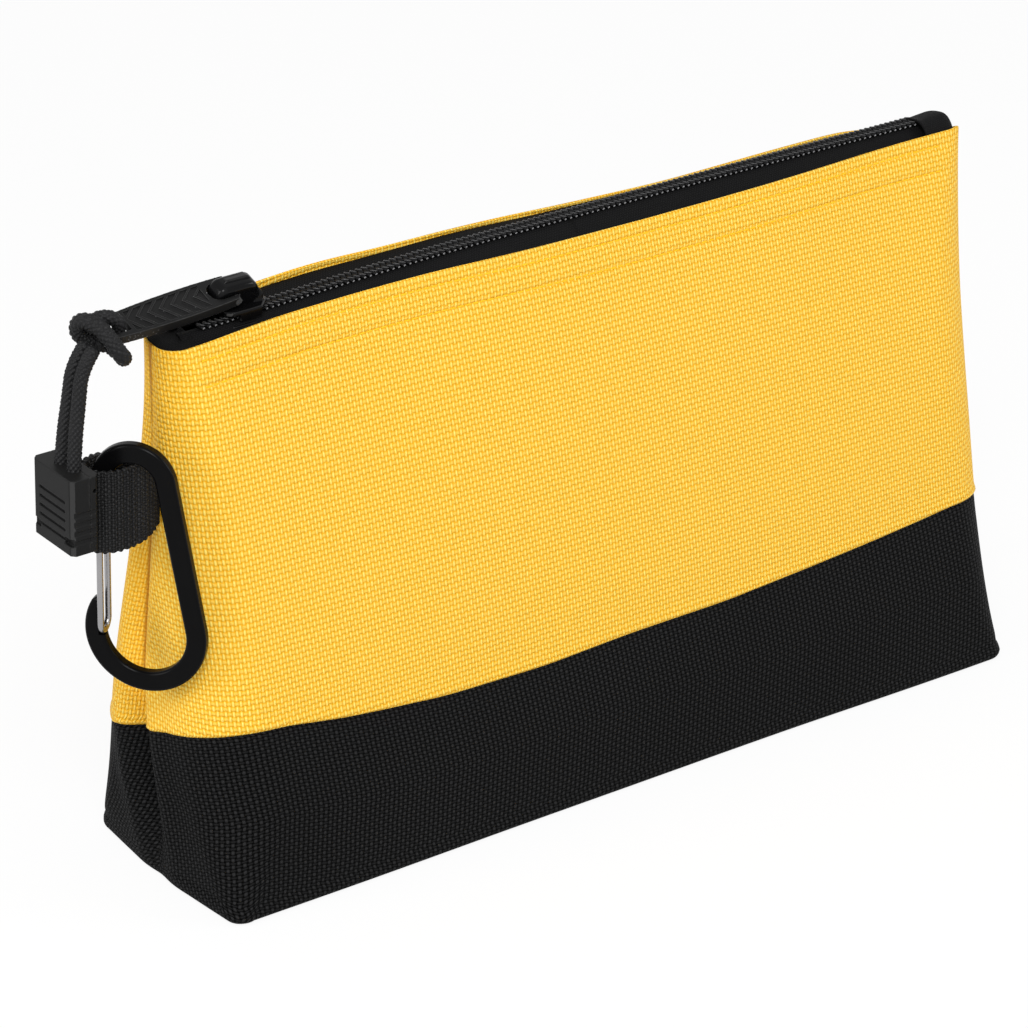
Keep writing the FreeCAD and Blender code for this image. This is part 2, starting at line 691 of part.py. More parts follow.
def make_carabiner():
    half, thick = size("bar_width") / 2, size("bar_thickness")
    bowl = vector(size("bowl_offset"), size("bowl_height"))
    arch = vector(size("arch_offset"), size("arch_height"))
    step = arch - bowl
    lean = math.atan2(step.y, step.x) - math.acos((size("bowl_radius") - size("arch_radius")) / step.Length)
    nose = math.radians(size("nose_angle"))
    pivot = vector(arch.x - size("arch_radius"), arch.y - size("gate_pivot_drop"))
    gate_end = bowl.y - size("gate_end_drop")

    def side(shift):
        """Outline of one side of the bar, from the nose round the bowl, spine and arch to the pivot."""
        big, small = size("bowl_radius") + shift, size("arch_radius") + shift
        end = vector(arch.x - small, pivot.y)
        left = vector(arch.x - small, arch.y)
        sweep = (nose, (nose + lean) / 2 + math.pi, lean + 2 * math.pi)
        round_bowl = [on_circle(bowl, big, angle) for angle in sweep]
        round_arch = [on_circle(arch, small, lean), on_circle(arch, small, (lean + math.pi) / 2), left]
        return [
            Part.Arc(*round_bowl).toShape(),
            Part.LineSegment(round_bowl[-1], round_arch[0]).toShape(),
            Part.Arc(*round_arch).toShape(),
            Part.LineSegment(left, end).toShape(),
        ]

    outside, inside = side(half), side(-half)
    tip = [on_circle(bowl, size("bowl_radius") + s, nose) for s in (half, -half)]
    tip_middle = on_circle(bowl, size("bowl_radius"), nose) + vector(math.sin(nose), -math.cos(nose)) * half
    nose_cap = Part.Arc(tip[0], tip_middle, tip[1]).toShape()
    ends = [vector(pivot.x - half, pivot.y), vector(pivot.x + half, pivot.y)]
    pivot_cap = Part.Arc(ends[0], pivot - vector(0, half), ends[1]).toShape()
    outline = Part.Wire(Part.__sortEdges__(outside + [pivot_cap] + inside + [nose_cap]))
    frame = Part.Face(outline).extrude(vector(0, 0, thick))
    frame.translate(vector(0, 0, -thick / 2))
    flats = [f for f in frame.Faces if abs(f.normalAt(0, 0).z) > math.cos(math.pi / 4)]
    rims = [edge for flat in flats for edge in flat.Edges]
    frame = frame.makeFillet(size("bar_round"), rims)
    gate = size("gate_half_width")
    notch_inner = bowl.x - size("bowl_radius") - half + size("nose_width")
    notch_foot = gate_end - size("wire_radius") - size("seat_gap")
    notch = block((notch_inner, notch_foot, -thick), (notch_inner + 2 * half, pivot.y - 2 * half, thick))
    hole_radius = size("gate_pin_radius") + size("pin_clearance")
    hole = Part.makeCylinder(hole_radius, 2 * thick, pivot - vector(0, 0, thick))
    shaped("carabiner_frame", frame.cut(notch).cut(hole)).Placement = clip_placement()

    turn_height = gate_end + gate
    wire_x = notch_inner + size("wire_radius") + size("seat_gap")
    bend = ((0, 1), (1, 0), (0, -1))
    lower = [vector(wire_x, turn_height - gate * drop, gate * spread) for drop, spread in bend]
    upper = [vector(pivot.x, pivot.y, gate), vector(pivot.x, pivot.y, -gate)]
    path = Part.Wire([
        Part.LineSegment(upper[0], lower[0]).toShape(),
        Part.Arc(*lower).toShape(),
        Part.LineSegment(lower[2], upper[1]).toShape(),
    ])
    ring = Part.Circle(upper[0], lower[0] - upper[0], size("wire_radius")).toShape()
    shaped("gate_wire", path.makePipeShell([Part.Wire([ring])], True, True)).Placement = clip_placement()
    pin_half = gate + size("wire_radius")
    pin = Part.makeCylinder(size("gate_pin_radius"), 2 * pin_half, pivot - vector(0, 0, pin_half))
    shaped("gate_pin", pin).Placement = clip_placement()


def write_parts():
    doc.recompute()
    for obj in doc.Objects:
        if "Invalid" in obj.State or "Error" in obj.State:
            raise RuntimeError(f"{obj.Label} failed: {obj.State}")
    os.makedirs("parts", exist_ok=True)
    for part in subparts:
        if part.Shape.isNull() or not part.Shape.isValid() or not part.Shape.Solids:
            raise RuntimeError(f"{part.Label} has no valid solid")
        part.Shape.exportStep(os.path.join("parts", part.Label + ".step"))


skin = make_fabric_body()
make_inner_trim()
make_zip()
make_slider()
make_grip()
make_cord()
make_cord_end()
make_webbing_loop(skin)
make_carabiner()
write_parts()
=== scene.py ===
import math

import bmesh
import bpy
import numpy as np
from mathutils import Matrix, Vector


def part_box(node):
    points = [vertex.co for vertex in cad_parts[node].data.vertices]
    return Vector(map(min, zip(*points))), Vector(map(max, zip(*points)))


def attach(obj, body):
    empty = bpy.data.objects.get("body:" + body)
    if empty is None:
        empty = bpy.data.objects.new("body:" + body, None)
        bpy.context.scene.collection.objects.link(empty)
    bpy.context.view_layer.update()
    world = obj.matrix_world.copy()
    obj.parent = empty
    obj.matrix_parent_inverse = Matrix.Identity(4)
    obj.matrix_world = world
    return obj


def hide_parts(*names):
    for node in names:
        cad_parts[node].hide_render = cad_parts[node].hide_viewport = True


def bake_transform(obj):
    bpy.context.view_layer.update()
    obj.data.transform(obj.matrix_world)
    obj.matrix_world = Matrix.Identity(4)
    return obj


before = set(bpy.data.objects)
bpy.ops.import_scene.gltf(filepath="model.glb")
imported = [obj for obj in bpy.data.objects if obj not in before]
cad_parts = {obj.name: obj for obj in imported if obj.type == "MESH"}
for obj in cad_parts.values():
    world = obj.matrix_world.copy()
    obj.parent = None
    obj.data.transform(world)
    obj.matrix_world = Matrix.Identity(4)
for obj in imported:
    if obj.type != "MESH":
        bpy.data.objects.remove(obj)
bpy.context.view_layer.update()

# Looks of a stand-up zip pouch: woven panels over a black boxed base, a coil zip with a corded
# pull, and a clip on a webbing side loop. Lengths are metres; MM turns millimetres into them.
MM = 0.001

# Fabric body: the outline's sizes at four heights, from the foot to the mouth
STAGE_HEIGHTS = np.array([0.0, 79.95, 149.65, 205.0]) * MM


def stage_curve(*sizes):
    """The cubic through a size's four stages, in metres."""
    return np.polyfit(STAGE_HEIGHTS, np.array(sizes) * MM, 3)


LEFT, RIGHT = -1, 1
FRONT, BACK = -1, 1
HALF_LENGTHS = {
    LEFT: stage_curve(175.6, 180.5, 178.5, 176.5),
    RIGHT: stage_curve(177.0, 179.5, 179.0, 178.8),
}
DEPTHS = {
    FRONT: stage_curve(47.3, 33.0, 18.5, 4.0),
    BACK: stage_curve(45.0, 38.0, 28.5, 18.0),
}
CORNER = stage_curve(14.0, 21.0, 22.0, 8.0)
FOOT_SHARPNESS = {FRONT: 10.5 * MM, BACK: 5.5 * MM}
FOOT_FADE = 14.0 * MM
LOBE_ROUNDS = {LEFT: 13.0 * MM, RIGHT: 1.5 * MM}
LOBE_HEIGHT, LOBE_SPREAD = 48.0 * MM, 28.0 * MM
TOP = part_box("front_panel")[1].z
ZIP_Y = (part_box("front_coil")[0].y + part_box("back_coil")[1].y) / 2
CLOTH = 1.4 * MM

# Side seams dip between two puffs, by height
SEAM_HEIGHTS = np.array([0.0, 8.0, 30.0, 55.0, 75.0, 150.0, 205.0]) * MM
SEAM_DIPS = np.array([0.2, 1.8, 8.0, 7.0, 4.0, 2.6, 0.2]) * MM
SEAM_WIDTHS = np.array([5.0, 5.0, 5.5, 5.0, 4.0, 4.0, 3.0]) * MM
SEAM_PUFFS = np.array([0.1, 0.4, 2.2, 2.0, 1.2, 0.9, 0.1]) * MM
PUFF_SHARES = {FRONT: 1.0, BACK: 0.9}
PUFF_PLACE = 2.2
SEAM_LEANS = np.array([-4.0, 1.0, 9.0, 12.5, 12.0, 5.5, 7.0]) * MM
FOOT_BULGES = {LEFT: 5.2 * MM, RIGHT: 0.8 * MM}
FOOT_WIDTHS = {FRONT: 50.0 * MM, BACK: 45.0 * MM}
FOOT_HEIGHT = 20.0 * MM
SEAM_CALM = 7.0 * MM
STITCH_ROWS = (4.0 * MM, 13.0 * MM)
BASE_SEAM = 6.5 * MM
EASE_REACH, EASE_STEPS, EASE_SPREAD = 230.0, 24, 9.0


def smooth(t):
    t = np.clip(t, 0.0, 1.0)
    return t * t * (3 - 2 * t)


def hump(values, middle, width):
    return np.exp(-(((values - middle) / width) ** 2))


def eased(places, values):
    """A smoothed line through a list of places and values, both in millimetres."""
    grid = np.arange(-EASE_REACH, EASE_REACH + 1)
    kernel = np.exp(-(np.arange(-EASE_STEPS, EASE_STEPS + 1) / EASE_SPREAD) ** 2)
    padded = np.pad(np.interp(grid, places, values), EASE_STEPS, mode="edge")
    line = np.convolve(padded, kernel / kernel.sum(), mode="valid")
    return lambda x: np.interp(x, grid * MM, line * MM)


# The side seams bow back above the foot and come in to the zip's middle at the top
seam_y = eased(SEAM_HEIGHTS / MM, SEAM_LEANS / MM)


# Meshes

def new_object(name, data):
    made = bpy.data.objects.new(name, data)
    bpy.context.scene.collection.objects.link(made)
    return made


def mesh_object(name, points, faces, uvs=None, edges=None):
    """A mesh from arrays of points and faces; uvs and edges hold one pair per point."""
    mesh = bpy.data.meshes.new(name)
    mesh.from_pydata([tuple(p) for p in points], [], [tuple(f) for f in faces])
    index = np.zeros(len(mesh.loops), np.int32)
    mesh.loops.foreach_get("vertex_index", index)
    for layer_name, pairs in (("threads", uvs), ("edges", edges)):
        if pairs is not None:
            layer = mesh.uv_layers.new(name=layer_name)
            layer.data.foreach_set("uv", np.asarray(pairs, np.float32)[index].ravel())
    mesh.update()
    mesh.shade_smooth()
    return new_object(name, mesh)


def grid_faces(rows, columns, close_rows=False, close_columns=False, start=0):
    """Quads of a grid of points; closing joins its last row or column to its first."""
    faces = []
    for i in range(rows if close_rows else rows - 1):
        for j in range(columns if close_columns else columns - 1):
            k, m = (i + 1) % rows, (j + 1) % columns
            faces.append((start + i * columns + j, start + i * columns + m,
                          start + k * columns + m, start + k * columns + j))
    return faces


def face_outwards(piece, merge=0.0):
    shape = bmesh.new()
    shape.from_mesh(piece.data)
    if merge:
        bmesh.ops.remove_doubles(shape, verts=shape.verts, dist=merge)
    bmesh.ops.recalc_face_normals(shape, faces=shape.faces)
    shape.to_mesh(piece.data)
    shape.free()
    piece.data.shade_smooth()
    return piece


def route_points(route, steps):
    """Points of the NURBS line whose control points are the route."""
    line = bpy.data.curves.new("route", "CURVE")
    line.dimensions = "3D"
    spline = line.splines.new("NURBS")
    spline.points.add(len(route) - 1)
    for point, place in zip(spline.points, route):
        point.co = (*place, 1.0)
    spline.order_u = 3
    spline.use_endpoint_u = True
    spline.resolution_u = steps
    holder = new_object("route", line)
    mesh = bpy.data.meshes.new_from_object(holder.evaluated_get(bpy.context.evaluated_depsgraph_get()))
    points = np.array([v.co for v in mesh.vertices])
    bpy.data.objects.remove(holder)
    bpy.data.curves.remove(line)
    bpy.data.meshes.remove(mesh)
    return points


def even_points(points, step):
    """The same line with points a steady step apart."""
    lengths = np.r_[0.0, np.cumsum(np.linalg.norm(np.diff(points, axis=0), axis=1))]
    count = max(2, int(round(lengths[-1] / step)) + 1)
    places = np.linspace(0.0, lengths[-1], count)
    return np.stack([np.interp(places, lengths, points[:, k]) for k in range(3)], axis=1)


def frames_along(points):
    """Tangents and two steady side directions along a line."""
    tangents = np.gradient(points, axis=0)
    tangents /= np.linalg.norm(tangents, axis=1)[:, None]
    side = np.cross(tangents[0], (0.0, 1.0, 0.0))
    sides = []
    for tangent in tangents:
        side = side - tangent * (side @ tangent)
        side = side / np.linalg.norm(side)
        sides.append(side)
    sides = np.array(sides)
    return tangents, sides, np.cross(tangents, sides)


# Shared effects

def group(name, inputs, outputs):
    """An empty shader node group with named sockets and its input and output nodes."""
    tree = bpy.data.node_groups.new(name, "ShaderNodeTree")
    for kind, names in (("INPUT", inputs), ("OUTPUT", outputs)):
        for label, socket in names.items():
            tree.interface.new_socket(label, in_out=kind, socket_type="NodeSocket" + socket)
    return tree, tree.nodes.new("NodeGroupInput"), tree.nodes.new("NodeGroupOutput")


def node(tree, kind, values=None, **settings):
    """A node with its settings, its inputs given as numbers or as sockets to link from."""
    made = tree.nodes.new("ShaderNode" + kind)
    for key, value in settings.items():
        setattr(made, key, value)
    for key, value in (values or {}).items():
        if isinstance(value, bpy.types.NodeSocket):
            tree.links.new(value, made.inputs[key])
        else:
            made.inputs[key].default_value = value
    return made


def maths(tree, operation, *values):
    return node(tree, "Math", dict(enumerate(values)), operation=operation).outputs[0]


def mix(tree, factor, first, second):
    made = node(tree, "Mix", {"Factor": factor}, data_type="RGBA")
    for socket, value in zip([s for s in made.inputs if s.type == "RGBA"], (first, second)):
        if isinstance(value, bpy.types.NodeSocket):
            tree.links.new(value, socket)
        else:
            socket.default_value = (*value, 1.0)
    return next(s for s in made.outputs if s.type == "RGBA")


WANDER_SCALE = 160.0
THREAD_ROUNDNESS, CROSSING_LIFT = 0.6, 0.55
GAP_LOW, GAP_HIGH = 0.7, 1.32
BEND_FROM, BEND_TO = 0.52, 0.58


def make_weave_group():
    """Plain weave: two sets of round threads that pass over and under each other in turn."""
    tree, start, end = group(
        "plain_weave",
        {"Threads": "Vector", "Upright Spacing": "Float", "Level Spacing": "Float", "Wander": "Float"},
        {"Height": "Float", "Level Over": "Float", "Gap": "Float"},
    )
    noise = node(tree, "TexNoise", {"Vector": start.outputs["Threads"], "Scale": WANDER_SCALE,
                                    "Detail": 1.0})
    shift = node(tree, "VectorMath", {0: noise.outputs["Color"], 1: (0.5, 0.5, 0.5)}, operation="SUBTRACT")
    scaled = node(tree, "VectorMath", {0: shift.outputs[0], "Scale": start.outputs["Wander"]},
                  operation="SCALE")
    moved = node(tree, "VectorMath", {0: start.outputs["Threads"], 1: scaled.outputs[0]}, operation="ADD")
    axes = node(tree, "SeparateXYZ", {0: moved.outputs[0]})
    waves = []
    for axis, spacing in (("X", "Upright Spacing"), ("Y", "Level Spacing")):
        turns = maths(tree, "DIVIDE", axes.outputs[axis], start.outputs[spacing])
        waves.append(maths(tree, "SINE", maths(tree, "MULTIPLY", turns, math.pi)))
    domes = [maths(tree, "POWER", maths(tree, "ABSOLUTE", wave), THREAD_ROUNDNESS) for wave in waves]
    turn = maths(tree, "MULTIPLY", waves[0], waves[1])
    upright = maths(tree, "MULTIPLY_ADD", turn, CROSSING_LIFT, domes[0])
    level = maths(tree, "MULTIPLY_ADD", turn, -CROSSING_LIFT, domes[1])
    height = maths(tree, "MAXIMUM", upright, level)
    over = maths(tree, "GREATER_THAN", level, upright)
    low = node(tree, "MapRange", {0: height, 1: GAP_LOW, 2: GAP_HIGH, 3: 1.0, 4: 0.0})
    for label, socket in (("Height", height), ("Level Over", over), ("Gap", low.outputs[0])):
        tree.links.new(socket, end.inputs[label])
    return tree


def make_mottle_group():
    """Slow change over a surface, from object places: a tint factor and a fine grain height."""
    tree, start, end = group("mottle", {"Patch Scale": "Float", "Grain Scale": "Float"},
                             {"Patch": "Float", "Grain": "Float"})
    places = node(tree, "TexCoord").outputs["Object"]
    patch = node(tree, "TexNoise", {"Vector": places, "Scale": start.outputs["Patch Scale"],
                                    "Detail": 3.0})
    grain = node(tree, "TexNoise", {"Vector": places, "Scale": start.outputs["Grain Scale"],
                                    "Detail": 4.0, "Roughness": 0.6})
    tree.links.new(patch.outputs[0], end.inputs["Patch"])
    tree.links.new(grain.outputs[0], end.inputs["Grain"])
    return tree


def make_edge_highlight_group():
    """Painted highlights along edges, from how sharply the surface bends outwards."""
    tree, start, end = group("painted_edge_highlight", {"Bend": "Float", "Worn Bend": "Float"}, {"Highlight": "Float"})
    edge_highlight = node(tree, "MapRange", {0: start.outputs["Bend"], 1: BEND_FROM,
                                   2: start.outputs["Worn Bend"], 3: 0.0, 4: 1.0})
    tree.links.new(edge_highlight.outputs[0], end.inputs["Highlight"])
    return tree


weave_group = make_weave_group()
mottle_group = make_mottle_group()
edge_highlight_group = make_edge_highlight_group()


def place_group(tree, source, values):
    return node(tree, "Group", values, node_tree=source)


def new_material(name, **sockets):
    """A material with one Principled shader whose plain sockets are set here."""
    made = bpy.data.materials.new(name)
    made.use_nodes = True
    shader = made.node_tree.nodes["Principled BSDF"]
    for key, value in sockets.items():
        shader.inputs[key.replace("_", " ")].default_value = value
    return made, made.node_tree, shader


def bump(tree, shader, height, strength, distance):
    made = node(tree, "Bump", {"Height": height, "Strength": strength, "Distance": distance})
    tree.links.new(made.outputs[0], shader.inputs["Normal"])


# Painted light in the cloth: the yellow threads are paler than the yarn, a painted highlight on their tops,
# and the amber below is painted shade between the threads.
YELLOW = (0.90, 0.68, 0.13)
AMBER_GAP_SHADE = (0.82, 0.39, 0.003)
# Painted shade in the side seams: a broad darkening across the fold beside each seam and a deep amber line
# along the seam itself.
SEAM_SHADE_AMBER = (0.42, 0.16, 0.002)
FOLD_SHADE_REACH, LINE_SHADE_REACH = 18.0 * MM, 2.0 * MM
FOLD_SHADE_SHARE, LINE_SHADE_SHARE = 0.4, 0.9
WANDER_SHARE, LEVEL_SHADE, GRAIN_SHARE = 0.35, 0.5, 0.15
CLOTH_MOTTLE = {"Patch Scale": 14.0, "Grain Scale": 2600.0}
MOULD_PATCHES, MOULD_BUMP = 60.0, 0.6
GLOSS_DROP, GLOSS_RISE = 0.06, 0.08


def woven(name, thread, gap_shade, upright, level, depth, patch_tint, roughness=0.6, shine=0.2,
          gap_shade_share=0.75, seam=None):
    """Woven cloth in metres of thread spacing, slightly uneven in tint, with painted shade in the gaps
    between threads and on the level threads, so that the upright thread tops show as painted highlights.
    """
    made, tree, shader = new_material(name, Roughness=roughness, Specular_IOR_Level=shine)
    threads = node(tree, "UVMap", uv_map="threads").outputs[0]
    cloth = place_group(tree, weave_group, {"Threads": threads, "Upright Spacing": upright,
                                            "Level Spacing": level, "Wander": upright * WANDER_SHARE})
    mottle = place_group(tree, mottle_group, CLOTH_MOTTLE)
    tinted = mix(tree, mottle.outputs["Patch"], thread, patch_tint)
    # Painted shade on the level threads, so that the upright ones read as painted highlights.
    turned = mix(tree, maths(tree, "MULTIPLY", cloth.outputs["Level Over"], LEVEL_SHADE), tinted, gap_shade)
    # Painted shade: the gaps between threads darken towards the shade colour.
    shaded = mix(tree, maths(tree, "MULTIPLY", cloth.outputs["Gap"], gap_shade_share), turned, gap_shade)
    # Painted shade in the seam folds, darkest along the seam line.
    if seam:
        edge = node(tree, "UVMap", uv_map="edges").outputs[0]
        away = node(tree, "SeparateXYZ", {0: edge}).outputs[0]
        fold_shade = node(tree, "MapRange", {0: away, 1: 0.0, 2: FOLD_SHADE_REACH, 3: FOLD_SHADE_SHARE, 4: 0.0})
        line = node(tree, "MapRange", {0: away, 1: LINE_SHADE_REACH / 4, 2: LINE_SHADE_REACH, 3: LINE_SHADE_SHARE, 4: 0.0})
        shaded = mix(tree, fold_shade.outputs[0], shaded, gap_shade)
        shaded = mix(tree, line.outputs[0], shaded, seam)
    tree.links.new(shaded, shader.inputs["Base Color"])
    height = maths(tree, "MULTIPLY_ADD", mottle.outputs["Grain"], GRAIN_SHARE, cloth.outputs["Height"])
    bump(tree, shader, height, 1.0, depth)
    return made


def moulded(name, colour, pale, roughness, grain_scale, grain_depth, shine=0.15, edge_highlight=None):
    """Moulded plastic or painted metal: fine grain, uneven gloss, a faint bloom and painted highlights along
    sharp edges.
    """
    made, tree, shader = new_material(name, Specular_IOR_Level=shine)
    mottle = place_group(tree, mottle_group, {"Patch Scale": MOULD_PATCHES, "Grain Scale": grain_scale})
    tinted = mix(tree, mottle.outputs["Patch"], colour, pale)
    # Painted highlight: a paler colour along sharply bent edges.
    if edge_highlight:
        bend = node(tree, "NewGeometry").outputs["Pointiness"]
        edges = place_group(tree, edge_highlight_group, {"Bend": bend, "Worn Bend": BEND_TO})
        tinted = mix(tree, edges.outputs["Highlight"], tinted, edge_highlight)
    tree.links.new(tinted, shader.inputs["Base Color"])
    spread = node(tree, "MapRange", {0: mottle.outputs["Patch"], 3: roughness - GLOSS_DROP,
                                     4: roughness + GLOSS_RISE})
    tree.links.new(spread.outputs[0], shader.inputs["Roughness"])
    bump(tree, shader, mottle.outputs["Grain"], MOULD_BUMP, grain_depth)
    return made


# Each cloth paints shade into its thread gaps and a lighter highlight colour onto its thread tops.
yellow_cloth = woven("yellow_cloth", YELLOW, AMBER_GAP_SHADE, upright=1.39 * MM, level=1.94 * MM, depth=0.45 * MM,
                     patch_tint=(0.91, 0.70, 0.16), shine=0.15, gap_shade_share=1.0, seam=SEAM_SHADE_AMBER)
yellow_thread = moulded("yellow_thread", (0.84, 0.45, 0.012), (0.88, 0.52, 0.02),
                        roughness=0.6, grain_scale=3000.0, grain_depth=0.05 * MM)
black_cloth = woven("black_cloth", (0.024, 0.024, 0.0245), (0.0005, 0.0005, 0.0005),
                    upright=2.0 * MM, level=1.27 * MM, depth=0.45 * MM,
                    patch_tint=(0.017, 0.017, 0.0175), shine=0.03, gap_shade_share=1.0)
tape_cloth = woven("tape_cloth", (0.011, 0.011, 0.0115), (0.001, 0.001, 0.001),
                   upright=0.55 * MM, level=0.8 * MM, depth=0.15 * MM,
                   patch_tint=(0.008, 0.008, 0.0085), roughness=0.65, shine=0.06)
webbing_cloth = woven("webbing_cloth", (0.036, 0.036, 0.0365), (0.0005, 0.0005, 0.0005),
                      upright=1.3 * MM, level=1.0 * MM, depth=0.4 * MM,
                      patch_tint=(0.016, 0.016, 0.0165), roughness=0.55, shine=0.12)
braid_fibre = moulded("braid_fibre", (0.008, 0.008, 0.0085), (0.016, 0.016, 0.0165),
                      roughness=0.4, grain_scale=4000.0, grain_depth=0.06 * MM, shine=0.1)
coil_nylon = moulded("coil_nylon", (0.003, 0.003, 0.0032), (0.006, 0.006, 0.0064),
                     roughness=0.4, grain_scale=900.0, grain_depth=0.02 * MM, shine=0.08)
coil_thread = moulded("coil_thread", (0.024, 0.024, 0.0245), (0.04, 0.04, 0.041),
                      roughness=0.3, grain_scale=2500.0, grain_depth=0.03 * MM, shine=0.3)
# Painted glint: pale grey for the bright spots on the teeth's front ends.
painted_tooth_glint = moulded("painted_tooth_glint", (0.09, 0.09, 0.093), (0.16, 0.16, 0.165),
                      roughness=0.25, grain_scale=2500.0, grain_depth=0.02 * MM, shine=0.5)
# The slider, grip and cord end get painted highlights along their edges.
slider_paint = moulded("slider_paint", (0.002, 0.002, 0.0022), (0.004, 0.004, 0.0043),
                       roughness=0.12, grain_scale=1400.0, grain_depth=0.006 * MM, shine=0.1,
                       edge_highlight=(0.05, 0.05, 0.05))
grip_plastic = moulded("grip_plastic", (0.006, 0.006, 0.006), (0.010, 0.010, 0.010),
                       roughness=0.3, grain_scale=1800.0, grain_depth=0.01 * MM, shine=0.1,
                       edge_highlight=(0.09, 0.09, 0.09))
end_plastic = moulded("end_plastic", (0.007, 0.007, 0.007), (0.010, 0.010, 0.010),
                      roughness=0.45, grain_scale=2200.0, grain_depth=0.03 * MM, shine=0.08,
                      edge_highlight=(0.03, 0.03, 0.03))
clip_paint = moulded("clip_paint", (0.0015, 0.0015, 0.0017), (0.003, 0.003, 0.0032),
                     roughness=0.2, grain_scale=1600.0, grain_depth=0.008 * MM, shine=0.06)


def make_steel():
    made, tree, shader = new_material("gate_steel", Metallic=1.0)
    mottle = place_group(tree, mottle_group, {"Patch Scale": 120.0, "Grain Scale": 3000.0})
    tree.links.new(mix(tree, mottle.outputs["Patch"], (0.30, 0.30, 0.31), (0.40, 0.39, 0.39)),
                   shader.inputs["Base Color"])
    spread = node(tree, "MapRange", {0: mottle.outputs["Grain"], 3: 0.2, 4: 0.34})
    tree.links.new(spread.outputs[0], shader.inputs["Roughness"])
    return made


gate_steel = make_steel()


def dress(piece, material):
    piece.data.materials.clear()
    piece.data.materials.append(material)
    return piece


# Fabric body

FLAT_COLUMNS, CORNER_COLUMNS, END_COLUMNS = 90, 14, 18
RUN_HEIGHT = 100.0 * MM
HALF_COLUMNS = [("flat", p) for p in np.linspace(0, 1, FLAT_COLUMNS)]
HALF_COLUMNS += [("corner", p) for p in np.linspace(0, 1, CORNER_COLUMNS)[1:]]
HALF_COLUMNS += [("end", p) for p in np.linspace(0, 1, END_COLUMNS)[1:]]


def corner_radius(side, z, hand):
    """Corners are tight at the foot, and the front ones round out above it."""
    lobe = LOBE_ROUNDS[hand] * hump(z, LOBE_HEIGHT, LOBE_SPREAD) if side == FRONT else 0.0
    return np.polyval(CORNER, z) - FOOT_SHARPNESS[side] * np.exp(-z / FOOT_FADE) + lobe


def outline_point(side, kind, share, z, hand=RIGHT):
    """x, y and outward direction on one half of the outline, for arrays of heights."""
    half, corner = np.polyval(HALF_LENGTHS[hand], z), corner_radius(side, z, hand)
    depth = np.polyval(DEPTHS[side], z)
    zero, one = np.zeros_like(z), np.ones_like(z)
    if kind == "flat":
        return share * (half - corner), side * depth, zero, side * one
    if kind == "corner":
        turn = share * math.pi / 2
        out_x, out_y = math.sin(turn) * one, side * math.cos(turn) * one
        return half - corner + corner * out_x, side * (depth - corner) + corner * out_y, out_x, out_y
    edge = side * (depth - corner)
    return half, edge + (seam_y(z) - edge) * share, one, zero


def seam_run(side):
    """Distance round the panel from its middle to each column, at a middling height."""
    z = np.array([RUN_HEIGHT])
    places = np.array([[v[0] for v in outline_point(side, *c, z)[:2]] for c in HALF_COLUMNS])
    return np.r_[0.0, np.cumsum(np.linalg.norm(np.diff(places, axis=0), axis=1))]


RUNS = {side: seam_run(side) for side in (FRONT, BACK)}
ALL_COLUMNS = list(range(-len(HALF_COLUMNS) + 1, len(HALF_COLUMNS)))


BANDS = {
    FRONT: eased([-208, -195, -184, -172, -160, -130, -85, -40,
                  0, 45, 90, 135, 160, 184, 208],
                 [55.0, 59.5, 63.2, 66.3, 67.8, 63.2, 59.0, 57.8,
                  59.3, 59.4, 62.0, 64.6, 66.5, 64.0, 55.0]),
    BACK: eased([-194, -187, -178, -168, -150, -100, 0, 100, 150, 170, 194],
                [51.0, 49.5, 50.0, 54.0, 59.0, 60.0, 59.0, 60.0, 61.0, 60.0, 55.0]),
}
BAND_ENDS = {LEFT: 52.5 * MM, RIGHT: 55.0 * MM}
BAND_JOIN = 6.0 * MM


def band_height(side, along):
    """The band seam sags in the middle of each panel and drops to meet its twin at the side seams."""
    end = BAND_ENDS[LEFT if along < 0 else RIGHT]
    level = BANDS[side](along)
    return level + (end - level) * smooth((abs(along) - RUNS[side][-1] + BAND_JOIN) / BAND_JOIN)


FRONT_RISE = eased([-195, -180, -165, -150, -135, -120, -60, 0, 25, 50, 100, 140, 174, 186, 200],
                   [-3.2, -3.2, -3.0, -2.2, -0.8, 0.0, 0.2, -1.2, -1.8, -1.6, -0.8, 0.0, 0.3, -1.6, -5.0])
BACK_RISE = eased([-195, -180, -150, -125, -112, -98, -85, -72, -45,
                   -20, 0, 22, 50, 77, 104, 125, 145, 200],
                  [-3.2, -2.5, 1.2, 2.9, 4.2, 5.4, 5.4, 4.7, 4.1,
                   3.0, 1.9, 1.1, -0.2, -0.5, -0.2, 0.2, -3.4, -5.0])
BACK_TAPE_RISE = eased([-180, -140, -125, -98, -45, -5, 22, 50, 77, 104, 125, 145, 180],
                       [-2.0, 1.2, 2.4, 3.6, 3.4, 1.6, 1.0, 0.2, -0.9, -1.2, -0.8, -4.0, -5.2])


def top_height(side, along):
    """The top edge: the front dips at the slider's end, the back stands proud behind the slider."""
    return TOP + (FRONT_RISE if side == FRONT else BACK_RISE)(along)


